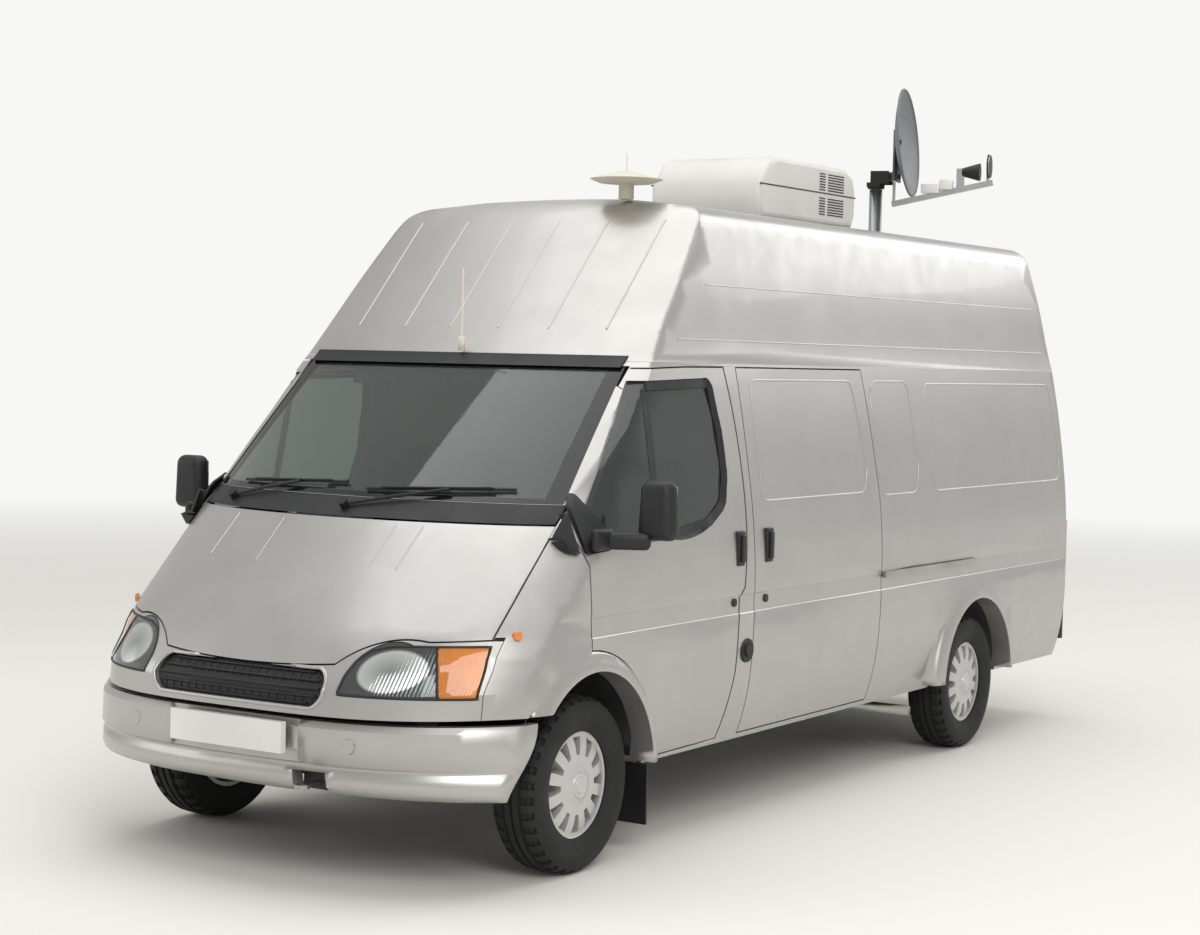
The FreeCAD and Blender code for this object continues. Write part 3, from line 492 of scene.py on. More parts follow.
def mirrored_copy(piece, name):
    """The same piece on the van's other side."""
    mesh = bmesh.new()
    mesh.from_mesh(piece.data)
    bmesh.ops.scale(mesh, vec=(-1, 1, 1), verts=mesh.verts)
    bmesh.ops.reverse_faces(mesh, faces=mesh.faces)
    data = bpy.data.meshes.new(name)
    mesh.to_mesh(data)
    mesh.free()
    other = bpy.data.objects.new(name, data)
    bpy.context.scene.collection.objects.link(other)
    data.shade_smooth()
    data.set_sharp_from_angle(angle=math.radians(35))
    return other


surfaces = {}


def surface_of(*names):
    """A searchable surface of some CAD nodes."""
    if names not in surfaces:
        mesh = bmesh.new()
        for name in names:
            mesh.from_mesh(NODES[name].data)
        surfaces[names] = BVHTree.FromBMesh(mesh)
        mesh.free()
    return surfaces[names]


SIDE = ("body_side_left", "sliding_door", "front_door_left", "front_door_glass_left", "front_wings", "high_roof",
        "cab_frame")
NUDGES = ((0, 0), (0, 0.005), (0, -0.005), (0.012, 0), (-0.012, 0), (0.024, 0.01), (-0.03, 0))


def first_hit(names, start, ahead, sideways):
    """Where a ray first meets some CAD nodes, tried again a little aside where it runs into a gap."""
    tree = surface_of(*names)
    for across, up in NUDGES:
        hit = tree.ray_cast(Vector(start) + Vector(sideways) * across + Vector((0, 0, up)), Vector(ahead))
        if hit[0]:
            return hit[0]
    raise RuntimeError(f"nothing of {names} is met from {start}")


def on_side(distance, height, out=0.0):
    """The point of the left side's outer skin at a station and height, moved outwards by a little."""
    tree = surface_of(*SIDE)
    for reach in (0.015, 0.045, 0.09, 0.14):
        found = []
        for along, up in ((0, 0), (reach, 0), (-reach, 0), (0, 0.005), (0, -0.005)):
            hit = tree.ray_cast(Vector((2, station(distance + along), height + up)), Vector((-1, 0, 0)))
            if hit[0] and hit[0].x > 0.6:
                found.append(hit[0].x)
        if found:
            return Vector((max(found) + out, station(distance), height))
    raise RuntimeError(f"nothing on the side at {distance}, {height}")


NOSE = ("bonnet", "nose_panel", "headlamps", "grille", "windscreen", "windscreen_surround", "high_roof",
        "cab_frame", "front_wings")


def on_nose(across, height, out=0.0):
    """The point on the van's front at a place across and a height, moved forwards by a little."""
    hit = first_hit(NOSE, (across, -4, height), (0, 1, 0), (1, 0, 0))
    return Vector((across, hit.y - out, height))


def on_rear(across, height, out=0.0):
    """The point on the left rear door or its glass, moved backwards by a little."""
    hit = first_hit(("rear_door_left", "rear_door_glass_left"), (across, 4, height), (0, -1, 0), (1, 0, 0))
    return Vector((across, hit.y + out, height))


def rounded_loop(corners, radius, steps=6):
    """A loop of 2-D points with each corner rounded."""
    points = []
    count = len(corners)
    for n in range(count):
        before, here, after = (Vector(corners[(n + k) % count]) for k in (-1, 0, 1))
        start = here + (before - here).normalized() * radius
        end = here + (after - here).normalized() * radius
        for k in range(steps + 1):
            t = k / steps
            points.append(start * (1 - t) ** 2 + here * 2 * t * (1 - t) + end * t**2)
    return points


def filled_in(points, spacing):
    """A closed line of 2-D points with more points on its long runs."""
    dense = []
    for n, here in enumerate(points):
        after = points[(n + 1) % len(points)]
        parts = max(1, int((after - here).length / spacing))
        dense += [here.lerp(after, k / parts) for k in range(parts)]
    return dense


def evened(points, closed=True, passes=6):
    """The same line with small steps across the van smoothed away."""
    count = len(points)
    for _ in range(passes):
        depths = [point.x for point in points]
        for n in range(0 if closed else 1, count if closed else count - 1):
            points[n].x = (depths[n - 1] + 2 * depths[n] + depths[(n + 1) % count]) / 4
    return points


def strip(name, line, width, out):
    """A flat moulded strip on the left side, from a line of stations and heights inwards by its width."""
    inner = []
    for n, here in enumerate(line):
        run = (line[min(n + 1, len(line) - 1)] - line[max(n - 1, 0)]).normalized()
        inner.append(here + Vector((-run.y, run.x)) * width)
    mesh = bmesh.new()
    rows = [[mesh.verts.new(point) for point in evened([on_side(p.x, p.y, rise) for p in points], False)]
            for points, rise in ((line, out), (inner, 0.004))]
    for n in range(len(line) - 1):
        mesh.faces.new((rows[0][n], rows[0][n + 1], rows[1][n + 1], rows[1][n]))
    bmesh.ops.recalc_face_normals(mesh, faces=mesh.faces)
    bmesh.ops.solidify(mesh, geom=mesh.faces[:], thickness=0.006)
    return from_bmesh(name, mesh, 40)


def side_loop(name, corners, radius, bead, out):
    """A bead round a shape on the left side; corners are stations and heights."""
    points = filled_in(rounded_loop(corners, radius), 0.06)
    return tube(name, [on_side(p.x, p.y, out) for p in points], bead, closed=True)


# ---------------------------------------------------------------- pieces


SMOOTH_NODES = [
    "bonnet", "nose_panel", "front_wings", "cab_frame", "front_door_left", "front_door_right", "sliding_door",
    "rear_door_left", "rear_door_right", "body_side_left", "body_side_right", "rear_frame", "high_roof",
    "front_bumper", "windscreen", "front_door_glass_left", "front_door_glass_right", "rear_door_glass_left",
    "rear_door_glass_right", "windscreen_surround", "air_conditioner", "aerials", "dish_reflector",
    "wheel_front_left", "wheel_front_right", "wheel_rear_left", "wheel_rear_right", "steering_wheel",
    "dashboard", "arch_liners", "grille", "fuel_tank", "exhaust", "rear_axle", "dish_mast", "spare_wheel",
]


class VAN_OT_finishes(bpy.types.Operator):
    """Give every CAD piece its finish, and the smooth ones soft shading"""
    bl_idname = "van.finishes"
    bl_label = "Body finishes"

    def execute(self, context):
        slots = {part["node"]: part["material_slot"] for part in frame["record"]["subparts"]}
        for name, node in NODES.items():
            chosen = "border" if name == "windscreen" else slots[name]
            if name == "seats" or name == "headlamps" or name.startswith(("tyre_", "door_mirror")):
                continue
            if name in SMOOTH_NODES:
                mesh = bmesh.new()
                mesh.from_mesh(node.data)
                bmesh.ops.remove_doubles(mesh, verts=mesh.verts, dist=0.00005)
                data = bpy.data.meshes.new(name + "_skin")
                mesh.to_mesh(data)
                mesh.free()
                skin = bpy.data.objects.new(name + "_skin", data)
                context.scene.collection.objects.link(skin)
                data.shade_smooth()
                data.set_sharp_from_angle(angle=math.radians(28))
                settle(skin, BODY_OF[name], chosen, [name])
            else:
                node.data.materials.clear()
                node.data.materials.append(finish(chosen))
        return {"FINISHED"}


class VAN_OT_pressings(bpy.types.Operator):
    """Raise the pressed edges of the side panels and the ribs of the roof"""
    bl_idname = "van.pressings"
    bl_label = "Pressings"

    def execute(self, context):
        panels = {
            "sliding_door": [(1.31, 1.33), (2.28, 1.33), (2.33, 1.42), (2.27, 1.83), (1.32, 1.83)],
            "narrow": [(2.46, 1.31), (2.84, 1.31), (2.89, 1.42), (2.87, 1.83), (2.49, 1.83), (2.45, 1.75)],
            "rear": [(3.05, 1.31), (4.66, 1.31), (4.71, 1.40), (4.68, 1.82), (3.06, 1.82)],
        }
        bead = sizes().bead
        for name, corners in panels.items():
            left = side_loop(f"pressing_{name}_left", corners, 0.05, bead, -bead * 0.45)
            if name != "sliding_door":
                settle(mirrored_copy(left, f"pressing_{name}_right"), "root", "silver_paint")
            settle(left, "root", "silver_paint")
        lines = []
        for side in (1, -1):
            for low, high, start, end in ((2.215, 2.222, 1.05, 4.58), (1.99, 1.99, 0.78, 4.66)):
                steps = 40
                points = [on_side(start + (end - start) * n / steps, low + (high - low) * n / steps, -0.0015)
                          for n in range(steps + 1)]
                lines.append(tube("roof_line", [Vector((side * p.x, p.y, p.z)) for p in points], 0.0035))
        settle(join("roof_side_lines", lines), "root", "silver_paint")
        ribs = []
        for across in (-0.62, -0.36, -0.12, 0.12, 0.36, 0.62):
            points = [on_nose(across, 2.02 + 0.46 * n / 14, -0.002) for n in range(15)]
            ribs.append(tube("roof_rib", points, 0.005))
        settle(join("roof_front_ribs", ribs), "root", "silver_paint")
        flutes = []
        for across in (-0.50, -0.23, 0.30, 0.41):
            points = [on_nose(across, 1.12 + 0.15 * n / 8, -0.0025) for n in range(9)]
            flutes.append(tube("flute", points, 0.004))
        settle(join("bonnet_flutes", flutes), "bonnet", "silver_paint")
        return {"FINISHED"}


class VAN_OT_windows(bpy.types.Operator):
    """Rubber round the windows, and the bar of the quarter light"""
    bl_idname = "van.windows"
    bl_label = "Window rubbers"

    def execute(self, context):
        corners = [(0.10, 1.213), (0.60, 1.213), (0.86, 1.246), (0.99, 1.32), (1.032, 1.46), (1.022, 1.66),
                   (0.99, 1.832), (0.40, 1.818), (0.40, 1.78)]
        outline = filled_in(rounded_loop(corners, 0.035), 0.03)
        first = min(range(len(outline)), key=lambda n: (outline[n] - Vector((0.14, 1.213))).length)
        last = min(range(len(outline)), key=lambda n: (outline[n] - Vector((0.49, 1.826))).length)
        outline = outline[first:last + 1]
        wide = sizes().rubber * 3.2
        loop = strip("rubber", outline, wide, 0.001)
        bar = self.quarter_bar()
        left = join("door_window_rubber_left", [loop, bar])
        right = mirrored_copy(left, "door_window_rubber_right")
        settle(left, "front_door_left", "rubber")
        settle(right, "front_door_right", "rubber")
        outline = filled_in(rounded_loop([(0.10, 1.37), (0.70, 1.37), (0.70, 1.80), (0.10, 1.80)], 0.05), 0.06)
        points = [on_rear(p.x, p.y, -0.002) for p in outline]
        left = tube("rear_window_rubber_left", points, 0.014, closed=True)
        right = mirrored_copy(left, "rear_window_rubber_right")
        settle(left, "rear_door_left", "rubber")
        settle(right, "rear_door_right", "rubber")
        return {"FINISHED"}


    def quarter_bar(self):
        """The upright bar between the quarter light and the window, on the outside of the glass."""
        mesh = bmesh.new()
        rows = []
        for n in range(12):
            height = 1.78 - 0.05 * n
            middle = 0.484 - 0.002 * n
            row = []
            for along in (-0.021, -0.016, 0.016, 0.021):
                spot = first_hit(("front_door_glass_left",), (2, station(middle + along), height), (-1, 0, 0), (0, 1, 0))
                row.append(mesh.verts.new(spot + Vector((0.006 if abs(along) < 0.02 else 0.0, 0, 0))))
            rows.append(row)
        for upper, lower in zip(rows, rows[1:]):
            for k in range(3):
                mesh.faces.new((upper[k], upper[k + 1], lower[k + 1], lower[k]))
        bmesh.ops.recalc_face_normals(mesh, faces=mesh.faces)
        bmesh.ops.solidify(mesh, geom=mesh.faces[:], thickness=0.003)
        return from_bmesh("bar", mesh, 40)


class VAN_OT_lamps(bpy.types.Operator):
    """Headlamps with their amber indicators, the frames round them and the side repeaters"""
    bl_idname = "van.lamps"
    bl_label = "Lamps"

    def execute(self, context):
        for part, keep_outer, material in (("headlamp", False, "lamp_glass"), ("indicator", True, "amber")):
            mesh = bmesh.new()
            mesh.from_mesh(NODES["headlamps"].data)
            bmesh.ops.remove_doubles(mesh, verts=mesh.verts, dist=0.00005)
            for side in (1, -1):
                normal = Vector((side, 0, 0.35)).normalized()
                point = Vector((side * (0.742 + (0.003 if keep_outer else -0.003)), 0, 0.80))
                near = [v for v in mesh.verts if v.co.x * side > 0]
                faces = {f for v in near for f in v.link_faces}
                edges = {e for v in near for e in v.link_edges}
                bmesh.ops.bisect_plane(mesh, geom=[*near, *edges, *faces], plane_co=point, plane_no=normal,
                                       clear_inner=keep_outer, clear_outer=not keep_outer)
            open_edges = [e for e in mesh.edges if e.is_boundary]
            bmesh.ops.holes_fill(mesh, edges=open_edges, sides=0)
            piece = from_bmesh(part + "s", mesh, 25)
            settle(piece, "root", material, ["headlamps"])
        frames = []
        for side in (1, -1):
            corners = [(0.453, 0.713), (0.868, 0.708), (0.857, 0.882), (0.640, 0.880), (0.565, 0.876),
                       (0.507, 0.860), (0.470, 0.825), (0.452, 0.775)]
            points = filled_in(rounded_loop(corners, 0.012), 0.03)
            frames.append(tube("rim", [on_nose(side * p.x, p.y, -0.001) for p in points], 0.005, closed=True))
            frames.append(tube("bar", [on_nose(side * (0.742 + 0.35 * (0.80 - z)), z, -0.001)
                                       for z in (0.715, 0.755, 0.80, 0.84, 0.875)], 0.005))
        settle(join("lamp_frames", frames), "root", "black_plastic")
        mesh = bmesh.new()
        near, far = on_side(-0.42, 0.918), on_side(-0.38, 0.918)
        outward = Vector((far.y - near.y, near.x - far.x, 0)).normalized()
        for side in (1, -1):
            turned = Vector((side, 1, 1))
            centre = (near + far) / 2
            drum_in(mesh, (centre - outward * 0.006) * turned, (centre + outward * 0.009) * turned, 0.019, 0.015)
        settle(from_bmesh("side_repeaters", mesh), "root", "amber")
        return {"FINISHED"}


class VAN_OT_grille(bpy.types.Operator):
    """Slats in the oval grille and the moulded ring round it"""
    bl_idname = "van.grille"
    bl_label = "Grille"

    def execute(self, context):
        bars = []
        count = sizes().slats
        for n in range(count):
            height = 0.660 + 0.130 * (n + 0.5) / count
            half = 0.372 - 0.07 * abs(2 * (n + 0.5) / count - 1) ** 2
            points = [on_nose(half * k / 8, height, 0.006) for k in range(-8, 9)]
            bars.append(tube("slat", points, 0.0045))
        for n in range(-9, 10):
            across = 0.038 * n
            bars.append(tube("upright", [on_nose(across, z, 0.001) for z in (0.664, 0.70, 0.745, 0.787)], 0.003))
        settle(join("grille_slats", bars), "root", "black_plastic")
        outline = []
        for end in (1, -1):
            for n in range(-12, 13):
                angle = math.radians(70) * n / 12 * end
                outline.append((end * (0.323 + 0.075 * math.cos(angle)), 0.725 + 0.072 * math.sin(angle)))
        outline = [tuple(p) for p in filled_in([Vector(p) for p in outline], 0.04)]
        ring = tube("grille_ring", [on_nose(x, z, -0.001) for x, z in outline], 0.007, closed=True)
        settle(ring, "root", "silver_paint")
        return {"FINISHED"}


class VAN_OT_wheels(bpy.types.Operator):
    """Tyres with grooved and blocked tread, the centre caps of the wheel covers, and a black disc of painted shade
    inside each wheel
    """
    bl_idname = "van.wheels"
    bl_label = "Wheels and tyres"

    def execute(self, context):
        for axle, place in (("front", FRONT_AXLE), ("rear", REAR_AXLE)):
            for side, name in ((1, "left"), (-1, "right")):
                body = f"{axle}_wheel_{name}"
                low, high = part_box(f"tyre_{axle}_{name}")
                centre = (low + high) / 2
                piece = self.tyre(f"tyre_tread_{axle}_{name}", centre, (high.z - low.z) / 2, (high.x - low.x) / 2)
                settle(piece, body, "tyre_rubber", [f"tyre_{axle}_{name}"])
                mesh = bmesh.new()
                face = centre.x + side * 0.084
                drum_in(mesh, (face - side * 0.006, place, centre.z), (face + side * 0.004, place, centre.z),
                        0.052, 0.046, 40)
                drum_in(mesh, (face, place, centre.z), (face + side * 0.007, place, centre.z), 0.034, 0.030, 40)
                settle(from_bmesh(f"wheel_centre_{axle}_{name}", mesh), body, "wheel_silver")
                # A thin black disc inside the wheel is painted shade, a dark sheet where there is only shade, given the
                # chassis paint.
                mesh = bmesh.new()
                inner = centre.x + side * 0.004
                drum_in(mesh, (inner - side * 0.004, place, centre.z), (inner, place, centre.z), 0.176, None, 48)
                settle(from_bmesh(f"wheel_shadow_{axle}_{name}", mesh), body, "chassis_black")
        return {"FINISHED"}

    def tyre(self, name, centre, radius, half):
        """A tyre spun from a half section, with alternate shoulder faces pressed in as tread gaps."""
        section = [(0.84, 0.615), (0.90, 0.66), (0.985, 0.76), (1.0, 0.83), (0.965, 0.90), (0.915, 0.945),
                   (0.86, 0.962), (0.70, 0.988), (0.44, 0.996), (0.40, 0.972), (0.32, 0.972), (0.28, 0.999),
                   (0.06, 1.0), (0.04, 0.974)]
        right = [(x * half, r * radius) for x, r in section]
        profile = right + [(-x, r) for x, r in reversed(right)] + [(-0.80 * half, 0.60 * radius),
                                                                  (0.80 * half, 0.60 * radius)]
        mesh = bmesh.new()
        verts = [mesh.verts.new((x, 0, r)) for x, r in profile]
        edges = [mesh.edges.new((verts[n], verts[(n + 1) % len(verts)])) for n in range(len(verts))]
        steps = sizes().tread
        bmesh.ops.spin(mesh, geom=verts + edges, cent=(0, 0, 0), axis=(1, 0, 0), angle=2 * math.pi,
                       steps=steps, use_merge=True)
        bmesh.ops.remove_doubles(mesh, verts=mesh.verts, dist=0.00001)
        bmesh.ops.recalc_face_normals(mesh, faces=mesh.faces)
        gaps = []
        for face in mesh.faces:
            middle = face.calc_center_median()
            reach = math.hypot(middle.y, middle.z)
            turn = int(round((math.atan2(middle.y, middle.z) / (2 * math.pi)) * steps - 0.5))
            if 0.48 * half < abs(middle.x) < 0.93 * half and reach > 0.95 * radius and turn % 2:
                gaps.append(face)
        bmesh.ops.inset_individual(mesh, faces=gaps, thickness=0.003, depth=-0.006)
        bmesh.ops.translate(mesh, vec=centre, verts=mesh.verts)
        return from_bmesh(name, mesh, 40)


class VAN_OT_mirrors(bpy.types.Operator):
    """Door mirrors: a soft-cornered head on a thick arm with its foot"""
    bl_idname = "van.mirrors"
    bl_label = "Door mirrors"

    def execute(self, context):
        low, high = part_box("door_mirror_left")
        mesh = bmesh.new()
        head_low = high.z - 0.228
        centre = Vector(((1.062 + high.x) / 2, station(0.157), (head_low + high.z) / 2))
        made = bmesh.ops.create_cube(mesh, size=1.0)["verts"]
        bmesh.ops.scale(mesh, vec=(high.x - 1.066, 0.078, high.z - head_low), verts=made)
        bmesh.ops.bevel(mesh, geom=mesh.edges[:], offset=0.034, offset_type="OFFSET", segments=7, profile=0.5,
                        affect="EDGES", material=-1)
        tall = high.z - head_low
        for vert in mesh.verts:
            rise = vert.co.z / tall + 0.5
            depth = (vert.co.y + 0.039) / 0.078
            vert.co.x *= (1.02 - 0.16 * rise**2) * (0.86 + 0.14 * depth)
            vert.co.z *= 0.93 + 0.07 * depth
        bmesh.ops.translate(mesh, vec=centre, verts=mesh.verts)
        box_in(mesh, (1.050, station(0.105), 1.236), (0.17, 0.070, 0.066), Matrix.Rotation(0.50, 3, "Z"), 0.022, 5)
        box_in(mesh, (0.990, station(0.02), 1.240), (0.036, 0.12, 0.082), None, 0.016, 4)
        left = from_bmesh("mirror_shell_left", mesh, 50)
        right = mirrored_copy(left, "mirror_shell_right")
        settle(left, "front_door_left", "black_plastic", ["door_mirror_left"])
        settle(right, "front_door_right", "black_plastic", ["door_mirror_right"])
        for name, body, corners in (
                ("foot", "root", [(-0.140, 1.245), (-0.118, 1.198), (-0.066, 1.190), (-0.066, 1.345)]),
                ("sail", "front_door", [(-0.048, 1.190), (0.09, 1.197), (0.09, 1.27), (0.03, 1.41), (-0.03, 1.36)])):
            left = self.pad(f"mirror_{name}_left", corners)
            right = mirrored_copy(left, f"mirror_{name}_right")
            settle(left, body if body == "root" else f"{body}_left", "black_plastic")
            settle(right, body if body == "root" else f"{body}_right", "black_plastic")
        mesh = bmesh.new()
        box_in(mesh, centre + Vector((0, 0.0385, 0)), (0.118, 0.003, 0.176), None, 0.001, 1)
        left = from_bmesh("mirror_glass_left", mesh)
        right = mirrored_copy(left, "mirror_glass_right")
        settle(left, "front_door_left", "mirror")
        settle(right, "front_door_right", "mirror")
        return {"FINISHED"}


    def pad(self, name, corners):
        """A moulded pad on the left side with an outline of stations and heights."""
        mesh = bmesh.new()
        outline = rounded_loop(corners, 0.014, 4)
        face = mesh.faces.new([mesh.verts.new(on_side(p.x, p.y, 0.011)) for p in outline])
        made = bmesh.ops.extrude_face_region(mesh, geom=[face])["geom"]
        moved = [item for item in made if isinstance(item, bmesh.types.BMVert)]
        bmesh.ops.translate(mesh, vec=(-0.014, 0, 0), verts=moved)
        bmesh.ops.triangulate(mesh, faces=mesh.faces)
        return from_bmesh(name, mesh, 40)


class VAN_OT_fittings(bpy.types.Operator):
    """Handles, locks, the filler cap, wipers, hinges and the plate's bracket"""
    bl_idname = "van.fittings"
    bl_label = "Fittings"

    def execute(self, context):
        for name, distance, height, body, sides in (
                ("front_handle", 1.092, 1.146, "front_door", (1, -1)),
                ("slide_handle", 1.335, 1.148, "root", (1,))):
            for side in sides:
                mesh = bmesh.new()
                spot = on_side(distance, height)
                spot.x *= side
                box_in(mesh, spot, (0.018, 0.062, 0.142), None, 0.006, 3)
                box_in(mesh, spot + Vector((side * 0.012, 0.006, 0)), (0.014, 0.03, 0.112), None, 0.005, 3)
                label = "left" if side > 0 else "right"
                piece = from_bmesh(f"{name}_{label}", mesh)
                settle(piece, "root" if body == "root" else f"{body}_{label}", "black_plastic")
        mesh = bmesh.new()
        spot = on_side(1.314, 0.928)
        drum_in(mesh, spot - Vector((0.004, 0, 0)), spot + Vector((0.006, 0, 0)), 0.017)
        spot = on_side(1.165, 0.724)
        drum_in(mesh, spot - Vector((0.006, 0, 0)), spot + Vector((0.007, 0, 0)), 0.052, 0.048, 40)
        drum_in(mesh, spot, spot + Vector((0.016, 0, 0)), 0.030, 0.026, 32)
        settle(from_bmesh("filler_cap_and_lock", mesh), "root", "black_plastic")
        for side, label in ((1, "left"), (-1, "right")):
            mesh = bmesh.new()
            spot = on_side(1.045, 0.929)
            spot.x *= side
            drum_in(mesh, spot - Vector((side * 0.004, 0, 0)), spot + Vector((side * 0.006, 0, 0)), 0.017)
            settle(from_bmesh(f"door_lock_{label}", mesh), f"front_door_{label}", "black_plastic")
        self.wipers()
        mesh = bmesh.new()
        for side in (1, -1):
            box_in(mesh, (side * 0.278, FRONT_FACE + 0.016, 0.548), (0.045, 0.03, 0.085), None, 0.006)
            spot = first_hit(("front_bumper",), (side * 0.5, -4, 0.535), (0, 1, 0), (1, 0, 0))
            drum_in(mesh, spot + Vector((0, 0.004, 0)), spot - Vector((side * -0.001, 0.004, 0)), 0.030, 0.027, 32)
        settle(from_bmesh("bumper_fittings", mesh), "root", "silver_paint")
        mesh = bmesh.new()
        box_in(mesh, (0.332, station(-0.776), 0.395), (0.136, 0.010, 0.072), None, 0.002)
        settle(from_bmesh("tow_eye_pocket", mesh), "root", "black_plastic")
        for side, label in ((1, "left"), (-1, "right")):
            mesh = bmesh.new()
            for height in (0.80, 1.25, 1.70):
                box_in(mesh, (side * 0.765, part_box("rear_door_left")[1].y - 0.012, height), (0.07, 0.03, 0.05), None,
                       0.006)
            if side > 0:
                box_in(mesh, (0.07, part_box("rear_door_left")[1].y - 0.012, 1.16), (0.06, 0.03, 0.15), None, 0.008)
            settle(from_bmesh(f"rear_door_fittings_{label}", mesh), f"rear_door_{label}",
                   "black_plastic")
        return {"FINISHED"}

    def wipers(self):
        """Two arms with blades that lie across the foot of the windscreen."""
        parts = []
        for pivot, tip, blade_start, blade_end in (
                (-0.62, -0.28, -0.62, -0.05), (0.02, 0.42, 0.06, 0.66)):
            start = on_nose(pivot, 1.335, 0.018)
            middle = on_nose((pivot + tip) / 2, 1.372, 0.035)
            end = on_nose(tip, 1.405, 0.030)
            parts.append(tube("arm", [start, middle, end], 0.007))
            line = []
            for n in range(9):
                across = blade_start + (blade_end - blade_start) * n / 8
                line.append(on_nose(across, 1.392 + 0.02 * n / 8, 0.014))
            parts.append(tube("blade", line, 0.006))
            line = [point + Vector((0, -0.010, 0.006)) for point in line[1:-1]]
            parts.append(tube("yoke", line, 0.004))
            mesh = bmesh.new()
            drum_in(mesh, start + Vector((0, 0.02, -0.02)), start + Vector((0, -0.012, 0.012)), 0.018)
            parts.append(from_bmesh("spindle", mesh))
        settle(join("wipers", parts), "root", "black_plastic")


class VAN_OT_roof_gear(bpy.types.Operator):
    """Louvres and seam of the air conditioner, and the details of the dish"""
    bl_idname = "van.roof_gear"
    bl_label = "Roof equipment"

    def execute(self, context):
        low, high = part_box("air_conditioner")
        length = high.y - low.y
        mesh = bmesh.new()
        for side in (1, -1):
            for start, width in ((0.60, 0.06), (0.69, 0.17)):
                for base in (0.048, 0.168):
                    for n in range(7):
                        box_in(mesh, (side * high.x, low.y + (start + width / 2) * length, low.z + base + 0.013 * n),
                               (0.006, width * length, 0.006), None, 0.0015, 1)
        settle(from_bmesh("cooler_louvres", mesh), "root", "chassis_black")
        mesh = bmesh.new()
        for side in (1, -1):
            box_in(mesh, (side * (high.x - 0.002), (low.y + high.y) / 2, low.z + 0.152), (0.006, length - 0.01, 0.007))
        settle(from_bmesh("cooler_seam", mesh), "root", "rubber")
        turn = Matrix.Translation((0, MAST.y, 0)) @ Matrix.Rotation(HEADING, 4, "Z")
        radius = 0.288
        ring = []
        for n in range(72):
            angle = 2 * math.pi * n / 72
            flat = Vector((0.059, radius * math.sin(angle), radius * math.cos(angle)))
            ring.append(turn @ (Matrix.Rotation(math.radians(-5), 3, "Y") @ flat + Vector((0.112, 0, 3.110))))
        settle(tube("dish_rim", ring, 0.006, closed=True), "dish_tilt", "dish_grey")
        mesh = bmesh.new()
        box_in(mesh, (0.30, 0, 2.867), (0.10, 0.05, 0.05), None, 0.004)
        box_in(mesh, (0.385, 0, 2.888), (0.07, 0.055, 0.055), None, 0.004)
        bmesh.ops.transform(mesh, matrix=turn, verts=mesh.verts)
        settle(from_bmesh("feed_boxes", mesh), "dish_tilt", "plate_white")
        mesh = bmesh.new()
        drum_in(mesh, (0.47, 0, 2.955), (0.565, 0, 2.955), 0.022, 0.048, 32)
        drum_in(mesh, (0.608, 0, 2.985), (0.622, 0, 2.985), 0.066, 0.060, 40)
        for height in (2.93, 3.12):
            drum_in(mesh, (0.122, 0, height), (0.132, 0, height), 0.014, None, 16)
        bmesh.ops.transform(mesh, matrix=turn, verts=mesh.verts)
        settle(from_bmesh("feed_horn", mesh), "dish_tilt", "black_plastic")
        return {"FINISHED"}


class VAN_OT_cab(bpy.types.Operator):
    """Seats with crowned cushions, the inside mirror and sun visors"""
    bl_idname = "van.cab"
    bl_label = "Cab"

    def execute(self, context):
        base = bmesh.new()
        first = True
        for name, low, high in (("driver", -0.70, -0.21), ("passenger", 0.04, 0.70)):
            middle, width = (low + high) / 2, high - low
            box_in(base, (middle, station(0.88), 0.66), (width - 0.08, 0.34, 0.19), None, 0.01)
            for part, centre, size in (
                    ("cushion", (middle, station(0.885), 0.828), (width, 0.48, 0.125)),
                    ("back", (middle, station(1.075), 1.20), (width, 0.115, 0.60))):
                mesh = bmesh.new()
                box_in(mesh, centre, size, None, 0.035, 3)
                piece = from_bmesh(f"{name}_{part}", mesh, 60)
                soft = piece.modifiers.new("crown", "SUBSURF")
                soft.levels = soft.render_levels = 2
                settle(piece, "root", "seat_fabric", ["seats"] if first else ())
                first = False
        settle(from_bmesh("seat_frames", base), "root", "chassis_black", ["seats"])
        mesh = bmesh.new()
        box_in(mesh, (0, station(0.60), 1.80), (0.22, 0.02, 0.06), None, 0.008, 3)
        for side in (1, -1):
            box_in(mesh, (side * 0.40, station(0.58), 1.83), (0.44, 0.02, 0.11), None, 0.008, 3)
        settle(from_bmesh("visors_and_mirror", mesh), "root", "dash_grey")
        return {"FINISHED"}


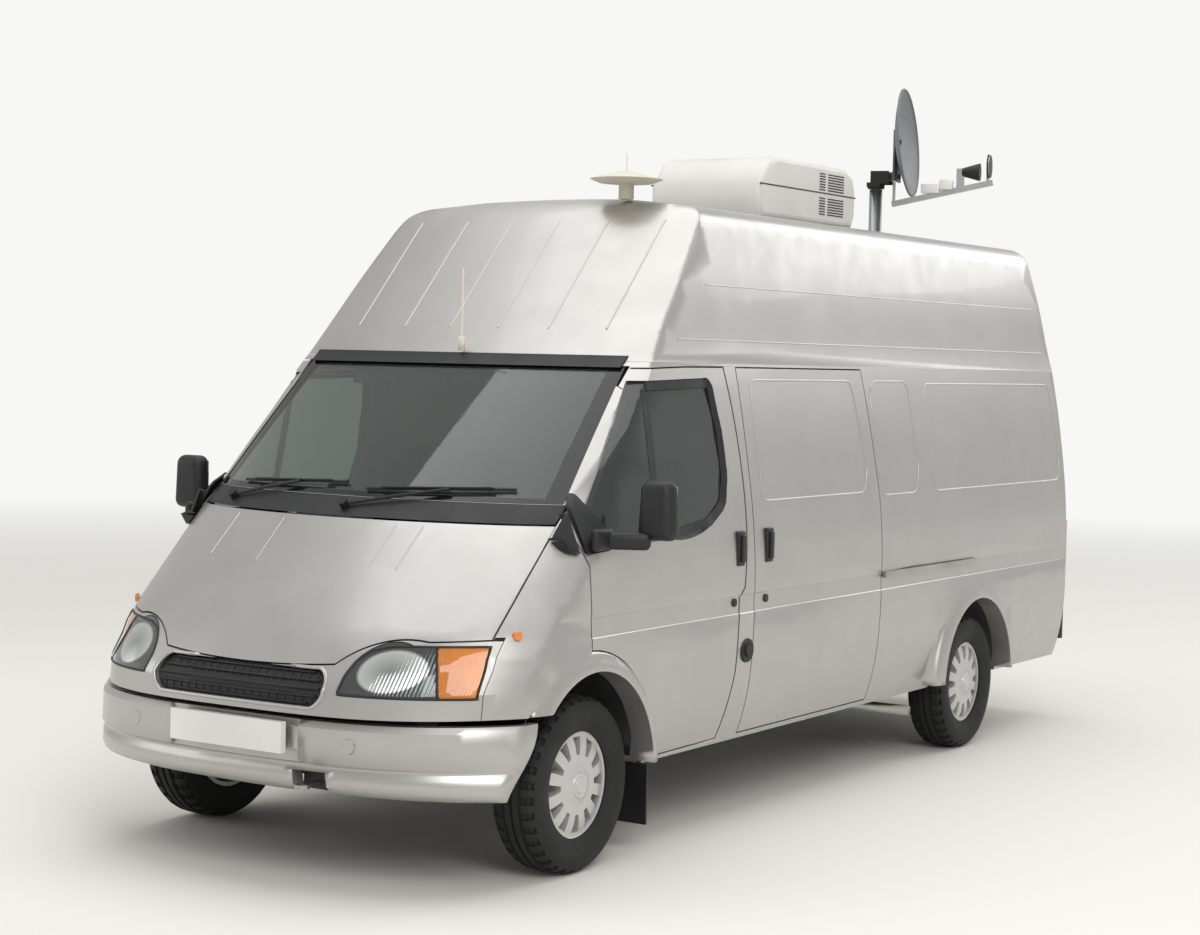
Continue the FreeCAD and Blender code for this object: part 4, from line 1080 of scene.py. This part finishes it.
class VAN_OT_studio(bpy.types.Operator):
    """A pale floor, soft lights and the camera"""
    bl_idname = "van.studio"
    bl_label = "Studio"

    def execute(self, context):
        scene = context.scene
        scene.view_settings.view_transform = "Standard"
        mesh = bmesh.new()
        bmesh.ops.create_grid(mesh, x_segments=1, y_segments=1, size=60)
        floor = from_bmesh("floor", mesh)
        floor.data.materials.append(studio_floor())
        world = bpy.data.worlds.new("studio")
        scene.world = world
        world.use_nodes = True
        tree = world.node_tree
        tree.nodes.clear()
        seen = add(tree, "ShaderNodeLightPath")
        straight = add(tree, "ShaderNodeMath", {0: seen.outputs["Is Camera Ray"], 1: seen.outputs["Is Transmission Ray"]},
                       operation="MAXIMUM").outputs["Value"]
        strength = add(tree, "ShaderNodeMapRange", {"Value": straight, "To Min": 0.62, "To Max": 1.0}).outputs["Result"]
        sky = add(tree, "ShaderNodeBackground", {"Color": linear("#F7F7F5"), "Strength": strength})
        add(tree, "ShaderNodeOutputWorld", {"Surface": sky.outputs["Background"]})
        for name, place, size, power in (("key", (9, -9, 8), 6, 620), ("top", (0, 0, 9), 9, 420),
                                         ("fill", (-9, -8, 5), 6, 160), ("rear", (4, 11, 7), 6, 260)):
            lamp = bpy.data.lights.new(name, "AREA")
            lamp.size = size
            lamp.energy = power
            held = bpy.data.objects.new(name, lamp)
            held.location = place
            held.rotation_euler = (Vector((0, 0, 1.2)) - Vector(place)).to_track_quat("-Z", "Y").to_euler()
            scene.collection.objects.link(held)
        lens_data = bpy.data.cameras.new("camera")
        lens_data.lens = 68.17
        lens_data.sensor_width = 36.0
        camera = bpy.data.objects.new("camera", lens_data)
        azimuth, pitch, roll = math.radians(32.28), math.radians(2.695), math.radians(1.30)
        ahead = Vector((-math.sin(azimuth) * math.cos(pitch), math.cos(azimuth) * math.cos(pitch), -math.sin(pitch)))
        level = Vector((math.cos(azimuth), math.sin(azimuth), 0))
        above = level.cross(ahead)
        right = level * math.cos(roll) + above * math.sin(roll)
        upward = above * math.cos(roll) - level * math.sin(roll)
        turn = Matrix((right, upward, -ahead)).transposed().to_4x4()
        camera.matrix_world = Matrix.Translation((5.415, station(-7.010), 1.897)) @ turn
        lens_data.clip_end = 200
        scene.collection.objects.link(camera)
        scene.camera = camera
        return {"FINISHED"}


class VAN_PT_panel(bpy.types.Panel):
    """The van's pieces, sizes and colours"""
    bl_label = "Mobile office van"
    bl_idname = "VAN_PT_panel"
    bl_space_type = "VIEW_3D"
    bl_region_type = "UI"
    bl_category = "Van"

    def draw(self, context):
        for group in (sizes(), colours()):
            for name in group.__annotations__:
                self.layout.prop(group, name)
        for operator in OPERATORS:
            self.layout.operator(operator.bl_idname)


OPERATORS = (VAN_OT_studio, VAN_OT_finishes, VAN_OT_pressings, VAN_OT_windows, VAN_OT_lamps, VAN_OT_grille,
             VAN_OT_wheels, VAN_OT_mirrors, VAN_OT_fittings, VAN_OT_roof_gear, VAN_OT_cab)
CLASSES = (VanSizes, VanColours, *OPERATORS, VAN_PT_panel)


def register():
    for item in CLASSES:
        bpy.utils.register_class(item)
    bpy.types.Scene.van_sizes = PointerProperty(type=VanSizes)
    bpy.types.Scene.van_colours = PointerProperty(type=VanColours)


def unregister():
    del bpy.types.Scene.van_colours
    del bpy.types.Scene.van_sizes
    for item in reversed(CLASSES):
        bpy.utils.unregister_class(item)


def main():
    register()
    for operator in OPERATORS:
        group, name = operator.bl_idname.split(".")
        getattr(getattr(bpy.ops, group), name)()


if __name__ == "__main__":
    main()
